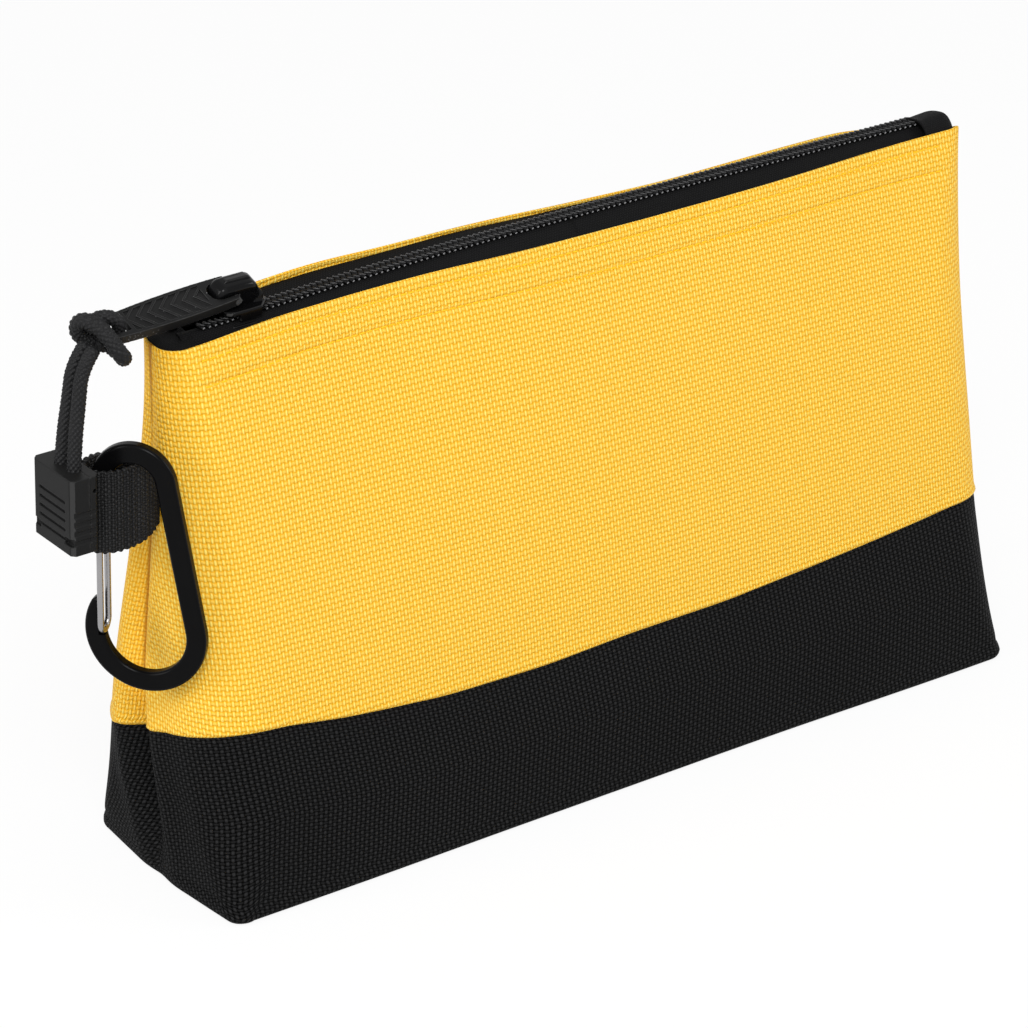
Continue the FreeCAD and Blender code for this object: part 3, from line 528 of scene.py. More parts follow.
PANEL_REACH = 172.0 * MM
CROWN_DEPTH, CROWN_STRETCH = 2.2 * MM, 1.05
BROAD_DEPTH, BROAD_LENGTH, BROAD_SHIFT = 0.9 * MM, 31.0 * MM, 1.3
BROAD_RISE, BROAD_START, BROAD_SPREAD = 5.0, 0.7, 1.4
FINE_DEPTH, FINE_LENGTH, FINE_RISE = 0.5 * MM, 17.0 * MM, 3.0
FINE_FROM, FINE_GROWTH = 0.55, 3
STIFF_HEIGHT, STIFF_FADE = 45 * MM, 40 * MM
HEM_DEPTH, HEM_STEP, HEM_REACH_SHARE, HEM_FADE_SHARE = 0.35 * MM, 3 * MM, 0.86, 0.12
STITCH_GROOVE = 0.9 * MM
PIPING_RISE, PIPING_STEP, PIPING_FADE_SHARE = 0.2 * MM, 2 * MM, 0.06
PIPING_GROOVE, PIPING_WIDTH = 0.7 * MM, 1.3 * MM
SWELL_DEPTH, SWELL_HEIGHT = 1.8 * MM, 60 * MM
SWELL_FROM, SWELL_GROWTH = 60 * MM, 100 * MM


def folds(side, along, z):
    """How far the cloth stands out from its outline: crown, soft dents, hem and base seam."""
    rise = z / TOP
    span = np.abs(along) / PANEL_REACH
    crown = CROWN_DEPTH * np.clip(1 - span ** 2, 0, 1)
    crown = crown * np.sin(np.pi * np.clip(rise * CROWN_STRETCH, 0, 1))
    broad = BROAD_DEPTH * np.sin(along / BROAD_LENGTH + BROAD_SHIFT * side)
    broad = broad * np.sin(rise * BROAD_RISE + BROAD_START) * smooth(span * BROAD_SPREAD)
    fine = FINE_DEPTH * np.sin(along / FINE_LENGTH + rise * FINE_RISE)
    fine = fine * smooth((rise - FINE_FROM) * FINE_GROWTH)
    out = (crown + (broad + fine)) * (0.5 + 0.5 * smooth((z - STIFF_HEIGHT) / STIFF_FADE))
    drop = top_height(side, along) - z
    hem = HEM_DEPTH * (1 - smooth((span - HEM_REACH_SHARE) / HEM_FADE_SHARE))
    for row in STITCH_ROWS:
        out = out - hem * hump(drop, row, STITCH_GROOVE)
    out = out + hem * smooth((STITCH_ROWS[1] - drop) / HEM_STEP)
    piping = PIPING_RISE * smooth((BASE_SEAM - z) / PIPING_STEP)
    piping = piping - PIPING_GROOVE * hump(z, BASE_SEAM, PIPING_WIDTH)
    if side == FRONT:
        swell = SWELL_DEPTH * smooth((along - SWELL_FROM) / SWELL_GROWTH)
        out = out + swell * np.clip(1 - z / SWELL_HEIGHT, 0, 1)
    return out + piping * smooth((span - 1.0) / PIPING_FADE_SHARE)


def seam_dip(side, hand, away, z):
    """The dip into a side seam and the puff beside it, by the distance away from the seam."""
    dip, width, puff = (np.interp(z, SEAM_HEIGHTS, v) for v in (SEAM_DIPS, SEAM_WIDTHS, SEAM_PUFFS))
    bulge = FOOT_BULGES[hand] * hump(away, 0.0, FOOT_WIDTHS[side]) * hump(z, 0.0, FOOT_HEIGHT)
    beside = PUFF_SHARES[side] * puff * hump(away, PUFF_PLACE * width, width)
    return bulge - dip * hump(away, 0.0, width) + beside


def panel_point(side, column, z, inset=0.0):
    """Points of the cloth at heights z in one column; columns count both ways from the middle."""
    mirror = -1.0 if column < 0 else 1.0
    run = RUNS[side]
    kind, share = HALF_COLUMNS[abs(column)]
    hand = LEFT if column < 0 else RIGHT
    x, y, out_x, out_y = outline_point(side, kind, share, z, hand)
    run_left = run[-1] - run[abs(column)]
    out = folds(side, mirror * run[abs(column)], z) * (1 - hump(run_left, 0.0, SEAM_CALM))
    out = out + out_x * seam_dip(side, hand, np.abs(y - seam_y(z)), z) - inset
    return np.stack([mirror * (x + out_x * out), y + out_y * out, z], axis=-1)


def panel_spot(side, x, z):
    """A point of a panel's flat run at a place along it."""
    hand = LEFT if x < 0 else RIGHT
    flat = np.polyval(HALF_LENGTHS[hand], z) - corner_radius(side, z, hand)
    along = x / flat * RUNS[side][FLAT_COLUMNS - 1]
    out = np.polyval(DEPTHS[side], z) + folds(side, along, z)
    return np.array([x, side * out, z])


def thread_runs(points):
    """Lengths along each row of points, from the row's middle."""
    steps = np.linalg.norm(np.diff(points, axis=1), axis=2)
    runs = np.concatenate([np.zeros((len(points), 1)), np.cumsum(steps, axis=1)], axis=1)
    return runs - runs[:, runs.shape[1] // 2][:, None]


LIP_ROWS, WALL_ROWS, HEM_ROWS, TURN_ROWS, INNER_ROWS = 4, 58, 40, 7, 40
HEM, HEM_TURN, LIP = 18.0 * MM, 2 * MM, 1.2 * MM
LIP_TUCK, LIP_PUFF = 0.6 * MM, 0.5 * MM


def make_panel(side, name, node_name):
    """A panel of cloth with its hem: up the outside, over the top fold and down the inside."""
    points, heights = [], []
    for column in ALL_COLUMNS:
        along = math.copysign(RUNS[side][abs(column)], column)
        top, low = float(top_height(side, along)), float(band_height(side, along))
        z = np.r_[np.linspace(low, low + LIP, LIP_ROWS), np.linspace(low + LIP, top - HEM, WALL_ROWS)[1:],
                  np.linspace(top - HEM, top, HEM_ROWS)[1:]]
        inside = np.linspace(top, low, INNER_ROWS)
        tuck = LIP_TUCK * (1 - smooth((z - low) / LIP)) - LIP_PUFF * hump(z, low + LIP, LIP)
        outer = panel_point(side, column, z, tuck)
        turns = []
        for turn in np.linspace(0, math.pi, TURN_ROWS + 2)[1:-1]:
            point = panel_point(side, column, np.array([top]), CLOTH / 2 * (1 - math.cos(turn)))[0]
            turns.append(point + np.array([0, 0, CLOTH / 2 * math.sin(turn)]))
        points.append(np.concatenate([outer, np.array(turns), panel_point(side, column, inside, CLOTH)]))
        heights.append(np.r_[z, top + np.linspace(0, HEM_TURN, TURN_ROWS), 2 * top - inside])
    points = np.array(points).transpose(1, 0, 2)
    uvs = np.stack([thread_runs(points), np.array(heights).T], axis=-1)
    count, columns = points.shape[:2]
    faces = grid_faces(count, columns, close_rows=True)
    runs = uvs[:, :, 0]
    away = np.minimum(runs - runs[:, :1], runs[:, -1:] - runs)
    made = mesh_object(name, points.reshape(-1, 3), faces, uvs.reshape(-1, 2),
                       np.stack([away, away], axis=-1).reshape(-1, 2))
    face_outwards(made)
    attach(made, "bag")
    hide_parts(node_name)
    dress(made, yellow_cloth)


FOOT_RADIUS, LOW_WALL, BASE_OVERLAP = 2.6 * MM, 14.0 * MM, 2.5 * MM
HIGH_ROWS, LOW_ROWS, ROLL_ROWS = 32, 16, 6
BASE_INSET, BASE_TUCK, TUCK_START, TUCK_STEP = 0.3 * MM, 0.9 * MM, 4 * MM, 3 * MM
SPINE_REACH, FLOOR_SHARES = 140 * MM, (0.25, 0.5, 0.75, 1.0)
SEAM_MERGE = 0.01 * MM


def make_base():
    """The black base: its walls, the roll at its foot and its floor, thickened inwards."""
    points, drops = [], []
    loop = [(FRONT, c) for c in ALL_COLUMNS[:-1]] + [(BACK, c) for c in ALL_COLUMNS[::-1]]
    for side, column in loop:
        along = math.copysign(RUNS[side][abs(column)], column)
        top = float(band_height(side, along)) + BASE_OVERLAP
        wall = np.r_[np.linspace(top, LOW_WALL, HIGH_ROWS), np.linspace(LOW_WALL, FOOT_RADIUS, LOW_ROWS)[1:]]
        inset = BASE_INSET + BASE_TUCK * smooth((wall - top + TUCK_START) / TUCK_STEP)
        outer = panel_point(side, column, wall, inset)
        roll = []
        for turn in np.linspace(0, math.pi / 2, ROLL_ROWS)[1:]:
            drawn_in = BASE_INSET + FOOT_RADIUS * (1 - math.cos(turn))
            low_point = panel_point(side, column, np.array([FOOT_RADIUS]), drawn_in)[0]
            roll.append([low_point[0], low_point[1], FOOT_RADIUS * (1 - math.sin(turn))])
        roll = np.array(roll)
        spine = np.array([np.clip(roll[-1][0], -SPINE_REACH, SPINE_REACH), 0.0, 0.0])
        floor = np.array([roll[-1] + (spine - roll[-1]) * share for share in FLOOR_SHARES])
        points.append(np.concatenate([outer, roll, floor]))
        drops.append(-np.r_[0.0, np.cumsum(np.linalg.norm(np.diff(points[-1], axis=0), axis=1))])
    points = np.array(points).transpose(1, 0, 2)
    uvs = np.stack([thread_runs(points), np.array(drops).T], axis=-1)
    count, columns = points.shape[:2]
    made = mesh_object("base_cloth", points.reshape(-1, 3), grid_faces(count, columns), uvs.reshape(-1, 2))
    face_outwards(made, SEAM_MERGE)
    thicken = made.modifiers.new("cloth", "SOLIDIFY")
    thicken.thickness, thicken.offset = CLOTH, -1.0
    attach(made, "bag")
    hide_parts("base_wrap")
    dress(made, black_cloth)


def shell(name, outer, inner, material):
    """A closed strip of cloth between two grids of points, its threads laid out by length."""
    rows, columns = outer.shape[:2]
    count = rows * columns
    faces = grid_faces(rows, columns) + grid_faces(rows, columns, start=count)
    rim = [i * columns for i in range(rows)] + [count - columns + j for j in range(1, columns)]
    rim += [i * columns + columns - 1 for i in range(rows - 2, -1, -1)] + list(range(columns - 2, 0, -1))
    faces += [(a, b, b + count, a + count) for a, b in zip(rim, rim[1:] + rim[:1])]
    across = np.r_[0.0, np.cumsum(np.linalg.norm(np.diff(outer[rows // 2], axis=0), axis=1))]
    up = np.r_[0.0, np.cumsum(np.linalg.norm(np.diff(outer[:, columns // 2], axis=0), axis=1))]
    threads = np.stack(np.meshgrid(across, up), axis=-1).reshape(-1, 2)
    points = np.concatenate([outer.reshape(-1, 3), inner.reshape(-1, 3)])
    made = mesh_object(name, points, faces, np.concatenate([threads, threads]))
    face_outwards(made)
    return dress(made, material)


def capsules(name, starts, ends, normals, radius, flat, arch, material):
    """Many short round-ended bars in one mesh, arched along their normals: stitches and teeth."""
    stations, widths = (0.0, 0.08, 0.3, 0.7, 0.92, 1.0), (0.35, 0.8, 1.0, 1.0, 0.8, 0.35)
    sides = 8
    points, faces = [], []
    for start, end, normal in zip(starts, ends, normals):
        tangent = (end - start) / np.linalg.norm(end - start)
        side = np.cross(tangent, normal)
        base = len(points)
        for t, width in zip(stations, widths):
            middle = start + (end - start) * t + normal * arch * math.sin(math.pi * t)
            for turn in np.arange(sides) * 2 * math.pi / sides:
                ring = side * math.cos(turn) + normal * flat * math.sin(turn)
                points.append(middle + radius * width * ring)
        faces += grid_faces(len(stations), sides, close_columns=True, start=base)
        faces.append(tuple(base + k for k in range(sides)))
        faces.append(tuple(base + (len(stations) - 1) * sides + k for k in range(sides)))
    made = mesh_object(name, points, faces)
    face_outwards(made)
    return dress(made, material)


STITCH_PITCH, STITCH_LENGTH, STITCH_REACH = 3.2 * MM, 2.6 * MM, 164 * MM


def make_hem_stitches(side, name):
    """Two rows of stitches below a panel's top edge."""
    starts, ends = [], []
    for row in STITCH_ROWS:
        for x in np.arange(-STITCH_REACH, STITCH_REACH, STITCH_PITCH):
            for place, kept in ((x, starts), (x + STITCH_LENGTH, ends)):
                z = top_height(side, place) - row
                kept.append(panel_spot(side, place, z))
    normals = np.tile([0.0, float(side), 0.1], (len(starts), 1))
    made = capsules(name, starts, ends, normals, radius=0.34 * MM, flat=0.7, arch=0.12 * MM,
                    material=yellow_thread)
    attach(made, "bag")


BINDING_ROWS, BINDING_COLUMNS, BINDING_DEPTHS = 60, 5, (0.3 * MM, 1.1 * MM)
FACING_ROWS, FACING_DROP, FACING_DEPTHS = 16, 2.4 * MM, (0.15 * MM, 0.8 * MM)


def lining(name, node_name, columns, z, depths):
    """A strip of tape cloth inside the panels, over some columns and heights."""
    outer, inner = (np.array([panel_point(s, c, z, CLOTH + d) for s, c in columns]).transpose(1, 0, 2)
                    for d in depths)
    made = shell(name, outer, inner, tape_cloth)
    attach(made, "bag")
    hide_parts(node_name)


def seam_strip(name, hand, node_name):
    """The binding inside a side seam, folded over both panels' edges."""
    last = len(HALF_COLUMNS) - 1
    low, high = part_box(node_name)
    z = np.linspace(low.z, high.z, BINDING_ROWS)
    columns = [(FRONT, hand * c) for c in range(last - BINDING_COLUMNS, last + 1)]
    columns += [(BACK, hand * c) for c in range(last - 1, last - BINDING_COLUMNS - 1, -1)]
    lining(name, node_name, columns, z, BINDING_DEPTHS)


def hem_facing(name, side, node_name):
    """The strip that backs a panel's hem on the inside."""
    low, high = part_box(node_name)
    z = np.linspace(low.z, min(high.z, TOP - FACING_DROP), FACING_ROWS)
    columns = [(side, c) for c in ALL_COLUMNS if abs(c) < FLAT_COLUMNS]
    lining(name, node_name, columns, z, FACING_DEPTHS)


make_panel(FRONT, "front_cloth", "front_panel")
make_panel(BACK, "back_cloth", "back_panel")
make_base()
make_hem_stitches(FRONT, "front_hem_stitches")
make_hem_stitches(BACK, "back_hem_stitches")
seam_strip("left_binding", LEFT, "left_seam_binding")
seam_strip("right_binding", RIGHT, "right_seam_binding")
hem_facing("front_hem_facing", FRONT, "front_facing")
hem_facing("back_hem_facing", BACK, "back_facing")

# Zip: two tapes with their coils, each in a left and a right half that meet at the middle

CHAIN_PITCH = 2.43 * MM
TOOTH_Z = 205.6 * MM
CHAIN_LEFT, CHAIN_RIGHT = -160.0 * MM, 165.0 * MM
TAPE_LEFT, TAPE_RIGHT = -167.0 * MM, 168.0 * MM
TAPE_SHARES = np.array([0.0, 0.24, 0.36, 0.5, 0.66, 0.84, 1.0])
TAPE_WIDTHS = {FRONT: 8.2 * MM, BACK: 9.3 * MM}
TAPE_STEPS, TAPE_GAP, TAPE_DEPTH = 70, 0.4 * MM, 0.8 * MM
TAPE_DROP, TAPE_UNDER = 1.6 * MM, 0.7 * MM
SETTLE_FROM, SETTLE_OVER = 0.2, 0.8
PART_WIDTH, PART_FROM, PART_OVER = 1.5 * MM, -140 * MM, 10 * MM
TOOTH_NEAR, TOOTH_FAR = -0.7 * MM, 3.4 * MM
THREAD_REACH, THREAD_MIDDLE, THREAD_SLANT, THREAD_LIFT = 1.0 * MM, 2.0 * MM, 0.8 * MM, 0.65 * MM
GLEAM_START, GLEAM_END = (-0.35 * MM, 3.75 * MM, -0.05 * MM), (0.45 * MM, 3.6 * MM, 0.2 * MM)
CHAIN_LIFT = eased([-200, -132, -100, -60, 0, 80, 150, 200], [0.0, 0.0, 1.0, 1.8, 2.0, 2.1, 2.1, 2.1])
CHAIN_SHIFT = eased([-200, -132, -90, -40, 60, 120, 150, 200], [0.0, 0.0, 0.8, 1.5, 1.5, 0.8, 0.2, 0.0])


def part_gap(x):
    """How far the two coils stand apart at the slider's open end."""
    return PART_WIDTH * smooth((PART_FROM - x) / PART_OVER)


def zip_half(side, hand):
    """One side's tape, teeth, sewing thread and painted glints on the tooth ends, on one half of the zip's
    length.
    """
    word = "front_" if side == FRONT else "back_"
    ending = "_left" if hand == LEFT else "_right"
    x_span = (TAPE_LEFT, 0.0) if hand == LEFT else (0.0, TAPE_RIGHT)
    x = np.linspace(*x_span, TAPE_STEPS)
    near_y = ZIP_Y + CHAIN_SHIFT(x) + side * (TAPE_GAP + part_gap(x))
    far_y = ZIP_Y + side * TAPE_WIDTHS[side]
    near_z = TOOTH_Z - TAPE_UNDER + CHAIN_LIFT(x)
    far_z = top_height(FRONT, x) - TAPE_DROP if side == FRONT else TOP + BACK_TAPE_RISE(x)
    share = TAPE_SHARES[:, None]
    settle = smooth((share - SETTLE_FROM) / SETTLE_OVER)
    outer = np.stack([np.broadcast_to(x, (len(share), len(x))), near_y + (far_y - near_y) * share,
                      near_z + (far_z - near_z) * settle], axis=-1)
    inner = outer - np.array([0, 0, TAPE_DEPTH])
    tape = shell(word + "tape" + ending, outer, inner, tape_cloth)

    counts = np.arange(math.ceil(CHAIN_LEFT / CHAIN_PITCH), int(CHAIN_RIGHT / CHAIN_PITCH))
    places = (counts + (0.5 if side == BACK else 0.0)) * CHAIN_PITCH
    places = places[places <= 0] if hand == LEFT else places[places > 0]

    def spots(shift, from_middle, above):
        y = ZIP_Y + CHAIN_SHIFT(places) + side * (from_middle + part_gap(places))
        return np.stack([places + shift, y, TOOTH_Z + above + CHAIN_LIFT(places)], axis=-1)

    upright = np.tile([0.0, 0.0, 1.0], (len(places), 1))
    teeth = capsules(word + "teeth" + ending, spots(0, TOOTH_NEAR, 0), spots(0, TOOTH_FAR, 0), upright,
                     radius=0.95 * MM, flat=0.85, arch=0.1 * MM, material=coil_nylon)
    thread = capsules(word + "thread" + ending,
                      spots(-THREAD_REACH, THREAD_MIDDLE + side * THREAD_SLANT, THREAD_LIFT),
                      spots(THREAD_REACH, THREAD_MIDDLE - side * THREAD_SLANT, THREAD_LIFT), upright,
                      radius=0.3 * MM, flat=0.8, arch=0.15 * MM, material=coil_thread)
    # Painted glints: short pale bars along the teeth's front ends.
    gleam = capsules(word + "tooth_glints" + ending, spots(*GLEAM_START), spots(*GLEAM_END), upright,
                     radius=0.32 * MM, flat=0.9, arch=0.08 * MM, material=painted_tooth_glint)
    for piece, stands_for in ((tape, "zip_tape"), (teeth, "coil"), (thread, "coil"), (gleam, "coil")):
        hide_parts(word + stands_for)
        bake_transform(piece)


for zip_side in (FRONT, BACK):
    for zip_hand in (LEFT, RIGHT):
        zip_half(zip_side, zip_hand)


def mouth_y(side, x, hand, inset):
    """Where the mouth's inside edge lies at a place along the bag."""
    half, corner = np.polyval(HALF_LENGTHS[hand], TOP), corner_radius(side, TOP, hand)
    reach = np.clip(np.abs(x) - (half - corner), 0.0, corner - inset)
    return side * (np.polyval(DEPTHS[side], TOP) - corner + np.sqrt((corner - inset) ** 2 - reach ** 2))


TAB_INSET, TAB_STEPS, TAB_SPACING, TAB_DROP, TAB_DEPTH = 1.1 * MM, 30, 0.8, 0.8 * MM, 1.0 * MM
TAB_LOW_SHARE, TAB_RIDGE, TAB_RIDGE_SHARE = 0.75, 0.7 * MM, 0.12


def end_tab(name, hand, near, crown, node_name):
    """The patch of cloth that closes the mouth at one end of the zip."""
    far = np.polyval(HALF_LENGTHS[hand], TOP) - TAB_INSET
    t = np.linspace(0, 1, TAB_STEPS) ** TAB_SPACING
    x = hand * (near + (far - near) * t)
    front, back = mouth_y(FRONT, x, hand, TAB_INSET), mouth_y(BACK, x, hand, TAB_INSET)
    s = np.linspace(-1, 1, TAB_STEPS)[:, None]
    y = (front + back) / 2 + s * (back - front) / 2
    front_z, back_z = top_height(FRONT, x), top_height(BACK, x)
    edge = front_z + (back_z - front_z) * (s + 1) / 2 - TAB_DROP
    dome = crown * (TAB_LOW_SHARE + (1 - TAB_LOW_SHARE) * t) * (1 - np.abs(s) ** 3) * (1 - t ** 12)
    ridge = TAB_RIDGE * hump(t, 0.0, TAB_RIDGE_SHARE) * (1 - s ** 4)
    outer = np.stack([np.broadcast_to(x, y.shape), y, edge + (dome + ridge)], axis=-1)
    made = shell(name, outer, outer - np.array([0, 0, TAB_DEPTH]), tape_cloth)
    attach(made, "bag")
    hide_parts(node_name)


end_tab("left_end_tab", LEFT, near=163.0 * MM, crown=2.2 * MM, node_name="left_zip_tab")
end_tab("right_end_tab", RIGHT, near=161.0 * MM, crown=8.0 * MM, node_name="right_zip_tab")

# Cord on the pull: two braided strands from the knot to the moulded end

CORD_ROUTE = np.array([(-200, 6, 209), (-206.3, 5.0, 203), (-208.8, 3.5, 191.5), (-212, 1.6, 179.5),
                       (-214, 0, 167)]) * MM
CORD_SPREAD = np.array([5.2, 5.6, 6.2, 7.2, 8.0]) * MM
CORD_WIDTH = 5.0 * MM
BRAID_COUNT, BRAID_PITCH = 8, 2.1 * MM
BRAID_STEP, BRAID_SIDES, ROUTE_STEPS = 0.22 * MM, 48, 40
BRAID_LOW, BRAID_LIFT = 0.80, 0.24
END_ROUND_SHARE, END_LEAST = 3, 0.01


def braided_tube(name, route, width):
    """A braided cord along the NURBS line of a route, its strands crossing as raised diamonds."""
    line = route_points(route, ROUTE_STEPS)
    points = even_points(line, BRAID_STEP)
    _, sides, ups = frames_along(points)
    run = np.arange(len(points)) * np.linalg.norm(points[1] - points[0])
    turns = np.arange(BRAID_SIDES) * 2 * math.pi / BRAID_SIDES
    round_cord, along_cord = BRAID_COUNT / 2 * turns[None, :], math.pi * run[:, None] / BRAID_PITCH
    one, two = (np.abs(np.sin(round_cord + way * along_cord)) for way in (1, -1))
    from_end = np.minimum(run, run[-1] - run) / (width / END_ROUND_SHARE)
    ends = np.sqrt(np.clip(1 - (1 - from_end).clip(0) ** 2, END_LEAST, 1))
    radius = width / 2 * ends[:, None] * (BRAID_LOW + BRAID_LIFT * np.sqrt(one * two))
    ring = sides[:, None, :] * np.cos(turns)[None, :, None]
    ring = ring + ups[:, None, :] * np.sin(turns)[None, :, None]
    rings = points[:, None, :] + radius[:, :, None] * ring
    count = len(points)
    faces = grid_faces(count, len(turns), close_columns=True)
    faces += [tuple(range(len(turns))), tuple((count - 1) * len(turns) + k for k in range(len(turns)))]
    made = mesh_object(name, rings.reshape(-1, 3), faces)
    face_outwards(made)
    dress(made, braid_fibre)
    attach(made, "cord")
    return made, line


for name, side in (("front_cord_strand", FRONT), ("back_cord_strand", BACK)):
    strand_route = CORD_ROUTE + np.stack([0 * CORD_SPREAD, side * CORD_SPREAD / 2, 0 * CORD_SPREAD], axis=1)
    strand, strand_line = braided_tube(name.replace("cord_strand", "braid"), strand_route, CORD_WIDTH)
    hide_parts(name)

# The knot, laid out as right, up and towards the viewer from the pull's cord bar
KNOT_MIDDLE = np.array([-194.7, 7.0, 211.2]) * MM
KNOT_AXES = np.array([(0.801, -0.598, 0.023), (0.252, 0.372, 0.894), (-0.543, -0.710, 0.448)])
KNOT_WRAP = [(-1, -2, -4.5), (-5.5, -2.5, -4.5), (-9, 0.5, -2), (-8.2, 4, 1.5), (-4.5, 4.2, 4), (0, 1.5, 5),
             (3.5, -3, 5), (6.3, -7.2, 3.6), (7.3, -8.6, 0.5), (5.5, -6.5, -3.5), (1.5, -3.5, -5.5)]
KNOT_LOOP = [(-5, 1, -1), (-3.5, 4.6, 1.5), (1.5, 5.8, 2), (5, 4.4, -0.5), (5, 1.5, -3.2), (4.6, -2, -5),
             (1, -4, -5), (-3, -3.5, -2)]
for name, spots, width in (("knot_wrap", KNOT_WRAP, 5.7 * MM), ("knot_loop", KNOT_LOOP, 5.0 * MM)):
    knot, _ = braided_tube(name, KNOT_MIDDLE + np.array(spots) * MM @ KNOT_AXES, width)
    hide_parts("cord_knot")

# Webbing side loop

WEB_PLAN = np.array([(-178, -0.5), (-183.5, -5.4), (-192, -7.8), (-203, -7.8), (-208.6, -0.6), (-203, 6.8),
                     (-192, 6.8), (-183.5, 4.8), (-178, 2.0)]) * MM


WEB_STEP, WEB_ROWS = 0.33 * MM, 84
RIB_PITCH, TWILL_PITCH, EDGE_WAVE = 2.6 * MM, 1.7 * MM, 0.25 * MM
WEB_HALF, RIB_RISE, TWILL_RISE, RIB_ROUNDNESS, INNER_SHARE = 0.6 * MM, 0.55 * MM, 0.2 * MM, 0.7, 0.9
EDGE_FROM, EDGE_OVER = 12 * MM, 3 * MM
PINCH_SHARE, PINCH_REACH = 0.24, 11 * MM


def make_webbing():
    """A loop of ribbed webbing, pinched in where its ends go into the side seam."""
    low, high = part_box("webbing_loop")
    plan = np.c_[WEB_PLAN, np.zeros(len(WEB_PLAN))]
    line = even_points(route_points(plan, ROUTE_STEPS), WEB_STEP)
    tangents, _, _ = frames_along(line)
    normals = np.stack([tangents[:, 1], -tangents[:, 0], 0 * tangents[:, 0]], axis=1)
    normals *= np.sign(np.sum(normals * (line - line.mean(axis=0)), axis=1).sum())
    run = np.arange(len(line)) * np.linalg.norm(line[1] - line[0])
    middle = (low.z + high.z) / 2
    z = np.linspace(low.z, high.z, WEB_ROWS)[:, None]
    rib = np.abs(np.sin(math.pi * run / RIB_PITCH))
    lean = np.where((run // RIB_PITCH) % 2 > 0, 1.0, -1.0)
    twill = np.sin(2 * math.pi * (z / TWILL_PITCH + lean * run / RIB_PITCH))
    edge = EDGE_WAVE * np.sin(2 * math.pi * run / RIB_PITCH) * np.where(z < middle, 1, -1)
    proud = WEB_HALF + RIB_RISE * rib ** RIB_ROUNDNESS + TWILL_RISE * twill * rib
    level = z + edge * smooth((np.abs(z - middle) - EDGE_FROM) / EDGE_OVER)
    pinch = PINCH_SHARE * hump(np.minimum(run, run[-1] - run), 0, PINCH_REACH)
    flat = np.broadcast_to(line, (len(z), len(line), 3)).copy()
    flat[:, :, 2] = middle + (level - middle) * (1 - pinch)
    outer = flat + proud[:, :, None] * normals
    inner = flat - (proud * INNER_SHARE)[:, :, None] * normals
    made = shell("webbing_side_loop", outer, inner, webbing_cloth)
    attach(made, "bag")
    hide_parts("webbing_loop")


make_webbing()

# The slider's crown, rounded over its bridge

PIN_PLACE = np.array([-144.0, 7.0, 214.3]) * MM
PIN_AXIS = np.array([-0.02088, 0.939693, 0.341382])
CROWN_OUTLINE = np.array([(-6.6, 0, -4.6), (-7.5, 0, -1.5), (-7.4, 0, 1.6), (-5.6, 0, 4.6), (-2.0, 0, 4.6),
                          (4.0, 0, 4.6), (7.8, 0, 4.2), (10.2, 0, 0.8), (12.2, 0, -4.6)]) * MM
CROWN_HALF, CROWN_EDGE = 3.7 * MM, 1.7 * MM
CROWN_ROUTE_STEPS, CROWN_STEP, CROWN_TURNS = 30, 0.35 * MM, 8


def make_crown():
    """A rounded hump over the slider's bridge, square to the pin that the pull turns on."""
    line = even_points(route_points(CROWN_OUTLINE, CROWN_ROUTE_STEPS), CROWN_STEP)
    tangents, _, _ = frames_along(line)
    inwards = np.cross((0.0, 1.0, 0.0), tangents)
    inwards *= np.sign(np.sum(inwards * (line.mean(axis=0) - line)))
    turns = np.linspace(0, math.pi / 2, CROWN_TURNS)
    back_turns = turns[::-1]
    across = np.r_[CROWN_EDGE * (1 - np.sin(back_turns)) - CROWN_HALF,
                   CROWN_HALF - CROWN_EDGE * (1 - np.sin(turns))]
    insets = np.r_[CROWN_EDGE * (1 - np.cos(back_turns)), CROWN_EDGE * (1 - np.cos(turns))]
    ahead = np.array([1.0, 0.0, 0.0]) - PIN_AXIS * PIN_AXIS[0]
    ahead /= np.linalg.norm(ahead)
    upwards = np.cross(ahead, PIN_AXIS)
    rows = []
    for place, inset in zip(across, insets):
        drawn = line + inwards * inset
        rows.append(PIN_PLACE + drawn[:, :1] * ahead + place * PIN_AXIS + drawn[:, 2:] * upwards)
    count = len(line)
    faces = grid_faces(len(rows), count, close_columns=True)
    faces += [tuple(range(count)), tuple((len(rows) - 1) * count + k for k in range(count))]
    made = mesh_object("slider_crown", np.concatenate(rows), faces)
    face_outwards(made)
    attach(made, "slider")
    dress(made, slider_paint)


make_crown()

# Solids that show as they are: material, remesh cell in millimetres and rounds of smoothing

SHOWN_NODES = {
    "zip_slider": (slider_paint, 0.25, 24),
    "slider_pin": (slider_paint, 0.0, 0),
    "pull_grip": (grip_plastic, 0.16, 4),
    "cord_end_body": (end_plastic, 0.2, 5),
    "cord_end_cap": (end_plastic, 0.2, 4),
    "carabiner_frame": (clip_paint, 0.0, 0),
    "gate_wire": (gate_steel, 0.0, 0),
    "gate_pin": (gate_steel, 0.0, 0),
}
for name, (material, cell, rounds) in SHOWN_NODES.items():
    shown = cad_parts[name]
    shown.data.materials.clear()
    shown.data.materials.append(material)
    if rounds:
        cells = shown.modifiers.new("cells", "REMESH")
        cells.mode, cells.voxel_size, cells.use_smooth_shade = "VOXEL", cell * MM, True
        soften = shown.modifiers.new("soften", "SMOOTH")
        soften.factor, soften.iterations = 0.5, rounds

# Stage, light and camera

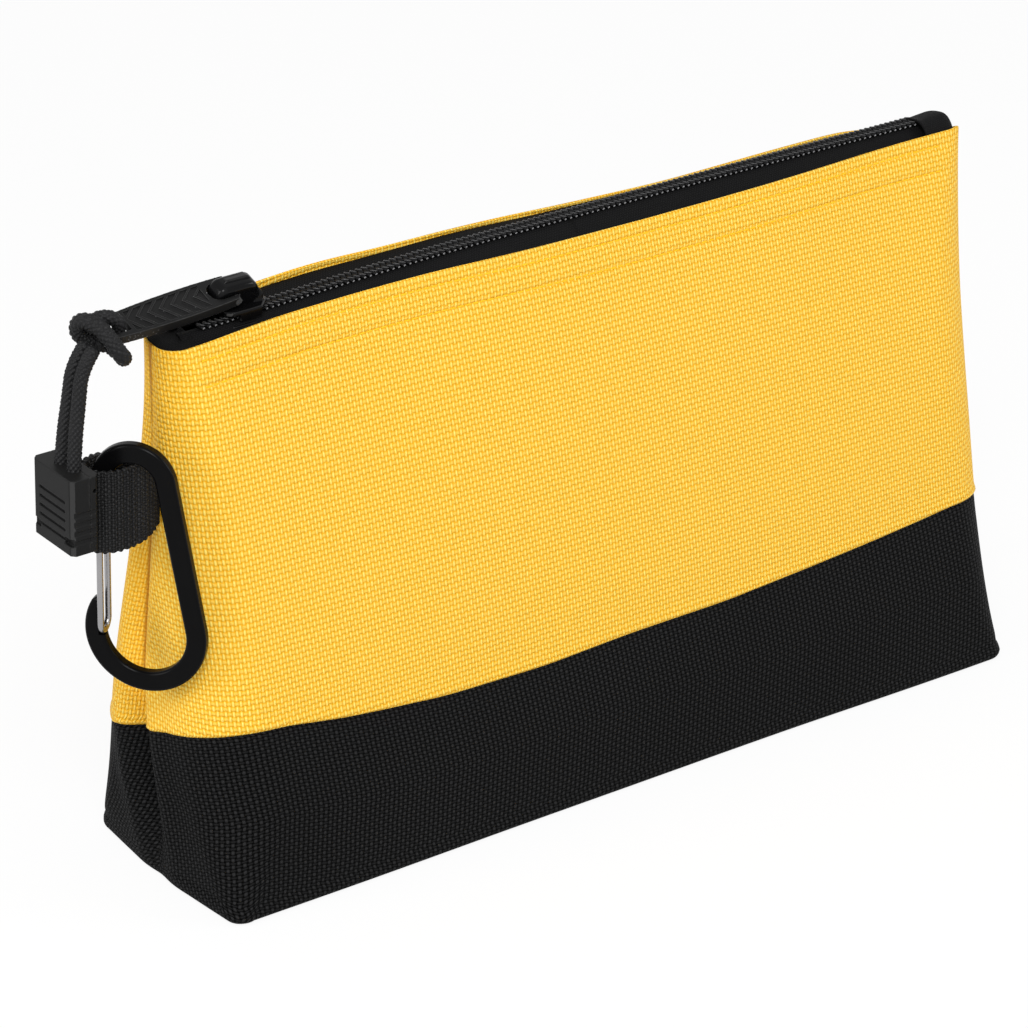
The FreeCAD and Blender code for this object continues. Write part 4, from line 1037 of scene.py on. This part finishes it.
CAMERA_TARGET = Vector((-16.27, 12.42, 91.47)) * MM
CAMERA_DISTANCE = 1770.64 * MM
CAMERA_YAW, CAMERA_PITCH, CAMERA_ROLL = (math.radians(a) for a in (-37.38, 26.62, 1.47))
FOCAL_PIXELS, FRAME_PIXELS, SENSOR = 4849.67, 1028, 36.0
FLOOR_HALF, FLOOR_GAP, FLOOR_GLOW = 6.0, 0.2 * MM, 0.9
AMBIENT = 0.5


def make_camera():
    data = bpy.data.cameras.new("camera")
    data.sensor_width = SENSOR
    data.lens = FOCAL_PIXELS / FRAME_PIXELS * SENSOR
    data.clip_start, data.clip_end = 0.05, 50.0
    camera = new_object("camera", data)
    level = math.cos(CAMERA_PITCH)
    back = Vector((math.sin(CAMERA_YAW) * level, -math.cos(CAMERA_YAW) * level, math.sin(CAMERA_PITCH)))
    right = Vector((math.cos(CAMERA_YAW), math.sin(CAMERA_YAW), 0.0))
    up = back.cross(right)
    spin_right = right * math.cos(CAMERA_ROLL) + up * math.sin(CAMERA_ROLL)
    spin_up = up * math.cos(CAMERA_ROLL) - right * math.sin(CAMERA_ROLL)
    turn = Matrix((spin_right, spin_up, back)).transposed().to_4x4()
    camera.matrix_world = Matrix.Translation(CAMERA_TARGET + back * CAMERA_DISTANCE) @ turn
    bpy.context.scene.camera = camera


def area_light(name, place, aim, width, power):
    data = bpy.data.lights.new(name, "AREA")
    data.shape, data.size, data.energy = "DISK", width, power
    lamp = new_object(name, data)
    lamp.location = place
    lamp.rotation_euler = (Vector(aim) - Vector(place)).to_track_quat("-Z", "Y").to_euler()


def background_rays(tree):
    """1 for rays from the camera or off a glossy surface, which see a white background."""
    path = node(tree, "LightPath")
    return maths(tree, "MAXIMUM", path.outputs["Is Camera Ray"], path.outputs["Is Glossy Ray"])


def make_stage():
    corners = [(x * FLOOR_HALF, y * FLOOR_HALF, 0) for x, y in ((-1, -1), (1, -1), (1, 1), (-1, 1))]
    floor = mesh_object("floor", corners, [(0, 1, 2, 3)])
    floor.location.z = -FLOOR_GAP
    made, tree, shader = new_material("floor_white", Roughness=0.9)
    shader.inputs["Base Color"].default_value = (0.86, 0.86, 0.86, 1.0)
    glow = node(tree, "Emission", {"Color": (1.0, 1.0, 1.0, 1.0), "Strength": 1.0})
    share = maths(tree, "MULTIPLY", background_rays(tree), FLOOR_GLOW)
    blend = node(tree, "MixShader", {0: share, 1: shader.outputs[0], 2: glow.outputs[0]})
    tree.links.new(blend.outputs[0], tree.nodes["Material Output"].inputs["Surface"])
    floor.data.materials.append(made)


def make_world():
    world = bpy.data.worlds.new("studio")
    bpy.context.scene.world = world
    world.use_nodes = True
    tree = world.node_tree
    strength = maths(tree, "MULTIPLY_ADD", background_rays(tree), 1 - AMBIENT, AMBIENT)
    tree.links.new(strength, tree.nodes["Background"].inputs["Strength"])
    tree.nodes["Background"].inputs["Color"].default_value = (1.0, 1.0, 1.0, 1.0)


make_camera()
make_stage()
make_world()
area_light("key", place=(-0.9, -1.1, 1.5), aim=(0, 0, 0.1), width=0.9, power=26.0)
area_light("side", place=(1.3, -0.9, 0.9), aim=(0, 0, 0.1), width=0.9, power=9.0)
area_light("end", place=(-1.6, 0.2, 0.8), aim=(-0.1, 0, 0.1), width=0.8, power=9.0)
bpy.context.scene.view_settings.view_transform = "Standard"
